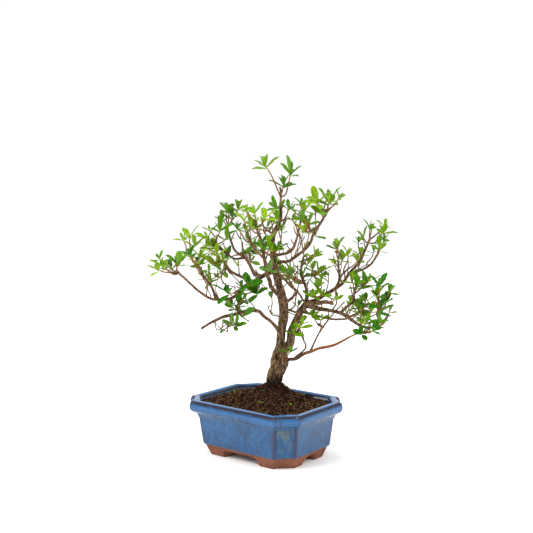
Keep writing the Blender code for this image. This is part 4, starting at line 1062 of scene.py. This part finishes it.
def dividing_planes(name):
    """Planes between a mass and each other one, so that their spaces never overlap.

    Each is square to the line between two middles, which it parts by the masses' half sizes along it.
    """
    centre, half = np.array(MASSES[name].centre, float), np.array(MASSES[name].half, float)
    planes = []
    for other, mass in MASSES.items():
        if other != name:
            offset = np.array(mass.centre, float) - centre
            distance = np.linalg.norm(offset)
            normal = offset / distance
            mine, theirs = np.linalg.norm(half * normal), np.linalg.norm(np.array(mass.half, float) * normal)
            planes.append((*normal, normal.dot(centre) + distance * mine / (mine + theirs) - GAP / 2))
    return np.array(planes)


def wiggle(rng, size):
    """A random vector with each part from -size to size."""
    return np.array([rng.uniform(-size, size) for _ in range(3)])


def shoot_to(start, radius, tip, rng):
    """A young shoot from a place on older wood to a tip: it leaves low, bends up and wavers a little.

    Its places at a third and at two thirds of the way sag, and shift at random, by shares of its run.
    """
    run = np.linalg.norm(tip - start)
    first = start + (tip - start) * 0.34 + wiggle(rng, 0.09 * run) - (0, 0, 0.10 * run)
    second = start + (tip - start) * 0.70 + wiggle(rng, 0.05 * run) - (0, 0, 0.08 * run)
    route = smooth_route((start, first, second, tip), 2.4)
    radii = np.linspace(min(radius, TWIG_THICKNESS[0] / 2), TWIG_THICKNESS[1] / 2, len(route))
    return np.column_stack((route, radii))


def rosette_at(name, course, rng, size, leaves, lean=1.2):
    """A rosette on a shoot's end: its mass, tip, axis, leaf size, leaf count and first bearing.

    The axis is the shoot's last direction, leaning upwards.
    """
    axis = unit(unit(course[-1, :3] - course[-3, :3]) + np.array((0, 0, lean)))
    return name, course[-1, :3], axis, size, leaves, rng.uniform(0, 6.28)


# A shoot is a course and how young its end is, from 0 for old wood to 1 for a green tip.
shoot_courses, rosettes = [], []
for name, mass in MASSES.items():
    rng = random.Random("shoots " + name)
    centre, half = np.array(mass.centre, float), np.array(mass.half, float)
    planes = dividing_planes(name)
    stem = stem_course(mass)
    shoot_courses.append((stem, 0.0))
    stem = dense(stem, 1.5)
    tips = [np.array(tip, float) for tip in ROSETTES[name]]
    usual = 1.06 if mass.along >= 1.0 or name in DEEP_GREEN else 0.9
    large = LARGE_LEAVES.get(name, usual)
    for tip in tips:
        reach = np.linalg.norm(stem[:, :3] - tip, axis=1) + np.maximum(stem[:, 2] - tip[2] + 6, 0) * 2
        row = int(np.argmin(reach) * rng.uniform(0.35, 1.0))
        course = shoot_to(stem[row, :3], stem[row, 3], tip - (0, 0, 2.0), rng)
        shoot_courses.append((course, 1.0))
        size = large * rng.uniform(0.85, 1.1)
        rosettes.append(rosette_at(name, course, rng, size, rng.randint(4, 6) + (name in LARGE_LEAVES)))
    wanted = len(tips) + int(mass.rosettes * FILLER_SHARES.get(name, FILLER_SHARE))
    for attempt in range(FILLER_TRIES):
        if len(tips) == wanted:
            break
        turn = GOLDEN_ANGLE * attempt + rng.uniform(-0.4, 0.4)
        rise = rng.uniform(-0.7, 0.8)
        level = math.sqrt(1 - rise ** 2)
        tip = centre + half * (math.cos(turn) * level, math.sin(turn) * level, rise) * rng.uniform(0.35, 0.85)
        spacing = FILLER_SPACING[0] + (FILLER_SPACING[1] - FILLER_SPACING[0]) * attempt / FILLER_TRIES
        if any(np.linalg.norm(tip - other) < spacing for other in tips):
            continue
        if np.any(planes[:, :3] @ tip > planes[:, 3] - PLANE_CLEARANCE):
            continue
        row = int(len(stem) * rng.uniform(0.45, 0.97))
        course = shoot_to(stem[row, :3], stem[row, 3], tip, rng)
        tips.append(tip)
        shoot_courses.append((course, 1.0))
        rosettes.append(rosette_at(name, course, rng, rng.uniform(0.65, 0.9), rng.randint(3, 5), 0.8))

for twig in TWIGS:
    rng = random.Random(repr(twig.route))
    route = smooth_route(rooted(twig.route, twig.limb), 4.0)
    route[1:-1] += [wiggle(rng, 0.45) for _ in route[1:-1]]
    course = np.column_stack((route, np.linspace(*twig.thick, len(route)) / 2))
    courses[f"twig {len(courses)}"] = course
    shoot_courses.append((course, 0.0 if twig.thick[1] > 1.0 else 0.6))

for name in courses:
    if name in BARE_LIMBS:
        continue
    rng = random.Random("side twigs " + name)
    course = dense(courses[name], 1.0)
    if name == "trunk":
        course = course[int(len(course) * 0.50):]
    at = rng.uniform(*SIDE_TWIG_STEP)
    while at < len(course) - 3:
        row = course[int(at)]
        at += rng.uniform(*SIDE_TWIG_STEP)
        along = unit(course[min(int(at), len(course) - 1), :3] - row[:3] + (0, 0, 0.01))
        aside = unit(np.cross(along, wiggle(rng, 1.0)))
        heading = unit(along * rng.uniform(0.3, 1.0) + aside + np.array((0, 0, rng.uniform(0.7, 1.6))))
        length = rng.uniform(*SIDE_TWIG_LENGTH)
        tip = row[:3] + heading * length + (0, 0, length * 0.15)
        side = shoot_to(row[:3], SIDE_TWIG_RADIUS, tip, rng)
        side[:, 3] *= 0.9
        shoot_courses.append((side, 0.35))
        if rng.random() < LEAFY_SHARE and length > LEAFY_LENGTH:
            mass_name = min(MASSES, key=lambda key: np.linalg.norm(np.array(MASSES[key].centre) - tip))
            rosettes.append(rosette_at(mass_name, side, rng, rng.uniform(0.5, 0.8), rng.randint(3, 6)))


def shoot_tube(course):
    """A slender round shoot: a circle carried along its course, with a faint knot every few millimetres."""
    fine = smooth_route(course, SHOOT_SPACING)
    knots = 1 + 0.16 * np.maximum(np.sin(np.arange(len(fine)) * 1.3 + len(fine)), 0)[:, None] ** 3
    return tube(fine[:, :3], np.maximum(fine[:, 3:4], SHOOT_THINNEST) * knots, SHOOT_SIDES)


shoot_grids = [tree_place(shoot_tube(course)) for course, _ in shoot_courses]
shoots = surface("young_shoots", shoot_grids)
mark(shoots, "youth", np.concatenate(
    [np.repeat(np.linspace(0.0, young, len(grid)), SHOOT_SIDES)
     for grid, (_, young) in zip(shoot_grids, shoot_courses)]))
shoot_bark = Finish("shoot_bark", Roughness=0.8, Specular_IOR_Level=0.06)
youth = shoot_bark.own("youth")
fuzz = shoot_bark.noise(700.0, 2.0, 0.6)
flakes = shoot_bark.noise(430.0, 4.0, 0.7, upright=0.5)
old = 1 - youth.band(0.05, 0.40)
shoot_tone = shoot_bark.blend((youth + fuzz * 0.3).band(0.25, 0.80), SHOOT_BROWN, SHOOT_RED)
shoot_tone = shoot_bark.blend((youth + fuzz * 0.2).band(0.86, 1.12), shoot_tone, SHOOT_GREEN)
shoot_tone = shoot_bark.blend(old * flakes.band(0.40, 0.56) * 0.7, shoot_tone, BARK_GREY)
shoot_tone = shoot_bark.blend(old * (1 - flakes.band(0.42, 0.52)) * 0.8, shoot_tone, BARK_CRACK)
shoot_bark.shade("Base Color", shoot_tone)
shoot_bark.bump(fuzz, 0.3, 0.0004)
dress(shoots, shoot_bark)

BUD_GREEN, BUD_SHAPE, BUD_SET = (0.30, 0.30, 0.06), (0.8, 0.8, 1.5), 0.7
bud_rng = np.random.default_rng(77)
bud_places = np.array([tip + axis * BUD_SET for _, tip, axis, *_ in rosettes])
bud_sizes = bud_rng.uniform(0.55, 0.95, (len(rosettes), 1)) * BUD_SHAPE
bud_scales = Finish("bud_scales", Roughness=0.6, Base_Color=BUD_GREEN)
buds = tree_place(crumb_shapes(bud_places, bud_sizes, bud_rng))
joined("leaf_buds", buds, CRUMB_FACES, bud_scales)

# The leaves: small leathery evergreen blades, folded a little along the midrib and bent back at the
# tip, glossy above and paler grey-green below. They sit in rosettes of three to seven round each bud.

LEAF_LENGTH = (12.3, 17.4)           # millimetres, and the next four are shares of a leaf's length
LEAF_WIDTH, LEAF_THICKNESS = 0.38, 0.020
STALK_HALF_WIDTH, EDGE_HALF_WIDTH = 0.020, 0.006
MIDDLE_LEAF = 0.7                    # the length of a rosette's innermost leaf against the others
LEAF_TILT = (14.0, 76.0)             # degrees from the axis, of the innermost leaf and the outermost
LEAF_START, LEAF_STEP = 0.2, 0.75    # how far down the axis the first leaf is set, and each later one
LEAF_BREADTHS = {"top_crown": 0.7, **dict.fromkeys(DEEP_GREEN, 1.2)}  # against the usual width
LEAF_STATIONS = np.array((0.0, 0.10, 0.27, 0.48, 0.68, 0.87, 1.0))
LEAF_LINES = np.array((-1.0, -0.5, 0.0, 0.5, 1.0))

# Vertex numbers of a blade's upper side, and of its lower side, which shares the rim.
LEAF_GRID = np.arange(LEAF_STATIONS.size * LEAF_LINES.size).reshape(LEAF_STATIONS.size, LEAF_LINES.size)
INSIDE_RIM = LEAF_GRID[1:-1, 1:-1]
LEAF_BACK = LEAF_GRID.copy()
LEAF_BACK[1:-1, 1:-1] = LEAF_GRID.size + np.arange(INSIDE_RIM.size).reshape(INSIDE_RIM.shape)
LEAF_FACES = np.vstack((grid_quads(LEAF_GRID), grid_quads(LEAF_BACK)[:, ::-1]))
IS_RIM = np.arange(LEAF_GRID.size + INSIDE_RIM.size) < LEAF_GRID.size
IS_RIM[INSIDE_RIM] = False


def leaf_blades(roots, directions, uppers, lengths, arches, folds, widths):
    """Thin closed blades, copies by vertices by 3.

    A blade's half width is t^0.95 (1-t)^0.62 along its length t, on a short stalk. Across it, the two
    halves rise from the midrib by the fold, and the whole bends back by the arch times t^2.2, with a
    slight wave. The lower side shares the outline and lies a hair lower inside it.
    """
    t, s = LEAF_STATIONS[:, None], LEAF_LINES[None, :]
    outline = t ** 0.95 * np.maximum(1 - t, 0.0) ** 0.62
    outline = outline / outline.max() * LEAF_WIDTH / 2 + STALK_HALF_WIDTH * (1 - t) + EDGE_HALF_WIDTH
    x, z = (outline * s).ravel(), (t + 0 * s).ravel()
    side = np.cross(directions, uppers) * widths[:, None]
    wave = 0.014 * np.sin(z * 11.0)
    lift = folds[:, None] * np.abs(x)[None] - arches[:, None] * z[None] ** 2.2 + wave[None]
    shape = (directions[:, None] * z[None, :, None] + side[:, None] * x[None, :, None]
             + uppers[:, None] * lift[..., None])
    above = roots[:, None] + lengths[:, None, None] * shape
    below = above[:, INSIDE_RIM.ravel()] - uppers[:, None] * (LEAF_THICKNESS * lengths[:, None, None])
    return np.concatenate((above, below), axis=1)


def leaf_finish(name, above, below, vein):
    """A leathery leaf: colour by side, a paler midrib and side veins, a faint gloss and small blotches."""
    leaf = Finish(name, Specular_IOR_Level=0.05)
    across = leaf.own("across")
    along = leaf.own("along")
    under = leaf.own("underside")
    blotch = leaf.noise(420.0, 3.0, 0.6)
    middle = 1 - across.band(0.0, 0.22)
    side_veins = leaf.math("SINE", along * 52.0 - across * 9.0).band(0.72, 1.0)
    face = leaf.blend((blotch + along * 0.15).band(0.38, 0.72), above, tuple(c * 0.6 for c in above))
    base = 1 - (along + blotch * 0.2).band(0.10, 0.52)
    face = leaf.blend(middle * 0.6 + side_veins * 0.12 + base * 0.5, face, vein)
    leaf.shade("Base Color", leaf.blend(under, face, below))
    leaf.shade("Roughness", 0.5 + under * 0.3 + blotch * 0.12)
    leaf.bump(middle * -0.7 - side_veins * 0.4, 0.5, 0.0003)
    return leaf


# Tufts of tiny leaves: across, away and up where they sit on the wood, across and away on the soil.
WOOD_TUFTS = ((12.5, 0.2, 157.8), (15.5, 5.7, 152.0), (8.0, -4.0, 160.0), (18.0, 4.8, 149.0),
              (4.0, -5.0, 168.0))
SOIL_TUFTS = ((-37.7, 50.0), (-34.0, 30.0), (-4.3, 63.0), (21.0, 43.0), (-6.1, -20.5), (44.0, 16.0),
              (28.0, -26.0))
TUFT_LEAF, TUFT_DEPTH = (2.4, 4.6), 0.2   # a tuft's leaf lengths, and how deep it sits in the soil
LeafKind = namedtuple("LeafKind", "name share slot above below vein")
# Drawn by kind_shares, the lighter kinds stand partly for painted light high in a mass, and the darker ones
# partly for painted shade low in it and in the shaded masses.
LEAF_KINDS = (
    LeafKind("fresh_leaves", 0.14, "leaf_light",
             (0.225, 0.415, 0.003), (0.26, 0.39, 0.03), (0.44, 0.50, 0.02)),
    LeafKind("light_leaves", 0.32, "leaf_light",
             (0.170, 0.350, 0.002), (0.21, 0.34, 0.03), (0.38, 0.46, 0.02)),
    LeafKind("mid_leaves", 0.42, "leaf_mid",
             (0.118, 0.292, 0.002), (0.17, 0.30, 0.03), (0.32, 0.42, 0.015)),
    LeafKind("grown_leaves", 0.30, "leaf_mid",
             (0.066, 0.228, 0.002), (0.12, 0.25, 0.025), (0.22, 0.36, 0.012)),
    LeafKind("greyish_leaves", 0.12, "leaf_mid",
             (0.105, 0.225, 0.045), (0.18, 0.28, 0.09), (0.28, 0.37, 0.07)),
    LeafKind("dark_leaves", 0.14, "leaf_deep",
             (0.020, 0.150, 0.002), (0.07, 0.19, 0.02), (0.11, 0.28, 0.01)),
)
# Kind weights for the deep green masses, mostly the darker kinds: partly the leaves' own colour, partly
# painted shade.
DEEP_GREEN_SHARES = (0.0, 0.06, 0.16, 0.36, 0.04, 0.38)

# How the names of the masses that lie in the shade begin: their rosettes draw the darker kinds, as painted
# shade.
SHADED = ("right_cluster", "right_inner", "left_low", "inner_left", "centre_right", "right_back")


def kind_shares(name, tip, size):
    """Each leaf kind's weight in a rosette's draw, by the rosette's height in its mass from 0 to 1.

    The two lightest kinds gain with the height, and the others lose by it, the darkest most, as painted light
    high in a mass and painted shade low in it. Rosettes of small leaves count as lower, and those of shaded
    masses as lowest, which paints their shade.
    """
    if name in DEEP_GREEN:
        return DEEP_GREEN_SHARES
    mass = MASSES[name]
    high = min(1.0, max(0.0, (tip[2] - mass.centre[2]) / mass.half[2] * 0.5 + 0.5))
    high *= 1.0 if size > 0.8 else 0.4
    if name.startswith(SHADED):
        high = high * 0.3 - 0.5
    return [kind.share * (max(0.25, 0.4 + 1.2 * high) if i < 2 else 1.4 - high * (1 + i * 0.12))
            for i, kind in enumerate(LEAF_KINDS)]


# Each leaf of a kind is a row of what leaf_blades asks for, in its order.
leaf_rng = random.Random(2031)
sprays = {kind.name: [] for kind in LEAF_KINDS}
for name, tip, axis, size, count, turn in rosettes:
    kind = leaf_rng.choices(LEAF_KINDS, kind_shares(name, tip, size))[0]
    side = unit(np.cross(axis, (0.3, 0.9, 0.2)))
    lift = np.cross(axis, side)
    for k in range(count):
        turn += GOLDEN_ANGLE
        opening = (LEAF_TILT[1] - LEAF_TILT[0]) * k / max(count - 1, 1)
        tilt = math.radians(LEAF_TILT[0] + opening + leaf_rng.uniform(-8, 8))
        out = side * math.cos(turn) + lift * math.sin(turn)
        direction = axis * math.cos(tilt) + out * math.sin(tilt)
        upper = axis * math.sin(tilt) - out * math.cos(tilt)
        upper = unit(upper + np.cross(direction, upper) * leaf_rng.uniform(-0.45, 0.45))
        length = leaf_rng.uniform(*LEAF_LENGTH) * size * (MIDDLE_LEAF if k == 0 else 1.0)
        root = tip - axis * (LEAF_START + LEAF_STEP * k)
        sprays[kind.name].append((root, direction, upper, length,
                                  leaf_rng.uniform(0.0, 0.18), leaf_rng.uniform(0.1, 0.45),
                                  leaf_rng.uniform(0.86, 1.1) * LEAF_BREADTHS.get(name, 1.0)))

tuft_spots = from_pot_middle([(*spot, 0.0) for spot in SOIL_TUFTS])[:, :2]
soil_tufts = [(*spot, level - TUFT_DEPTH) for spot, level in zip(SOIL_TUFTS, soil_under(tuft_spots))]
for place in (*WOOD_TUFTS, *soil_tufts):
    for k in range(leaf_rng.randint(3, 5)):
        bearing = GOLDEN_ANGLE * k + place[0]
        out = np.array((math.cos(bearing), math.sin(bearing), 0.0))
        tilt = leaf_rng.uniform(0.4, 1.2)
        direction = out * math.sin(tilt) + UP * math.cos(tilt)
        upper = UP * math.sin(tilt) - out * math.cos(tilt)
        sprays["light_leaves"].append((np.array(place), direction, upper, leaf_rng.uniform(*TUFT_LEAF),
                                       0.1, 0.2, 1.0))

along, across = np.meshgrid(LEAF_STATIONS, np.abs(LEAF_LINES), indexing="ij")
for kind in LEAF_KINDS:
    leaves = sprays[kind.name]
    blades = leaf_blades(*(np.array(column) for column in zip(*leaves)))
    finish = leaf_finish(kind.name, kind.above, kind.below, kind.vein)
    piece = joined(kind.name, tree_place(blades), LEAF_FACES, finish)
    ends = np.zeros(len(piece.data.edges) * 2, dtype=np.int32)
    piece.data.edges.foreach_get("vertices", ends)
    piece.data.edges.foreach_set("use_edge_sharp", IS_RIM[ends.reshape(-1, 2) % IS_RIM.size].all(axis=1))
    for mark_name, values in (("along", along), ("across", across)):
        mark(piece, mark_name, np.tile(np.append(values, values[1:-1, 1:-1]), len(leaves)))
    mark(piece, "underside", np.tile(np.repeat((0.0, 1.0), len(LEAF_FACES) // 2), len(leaves)), "FACE")
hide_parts(*MASSES)

sizes = {"cad": [list(map(float, corner)) for corner in cad_box],
         "visual": [list(map(float, corner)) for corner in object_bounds()]}
print("cad", sizes["cad"], "visual", sizes["visual"])
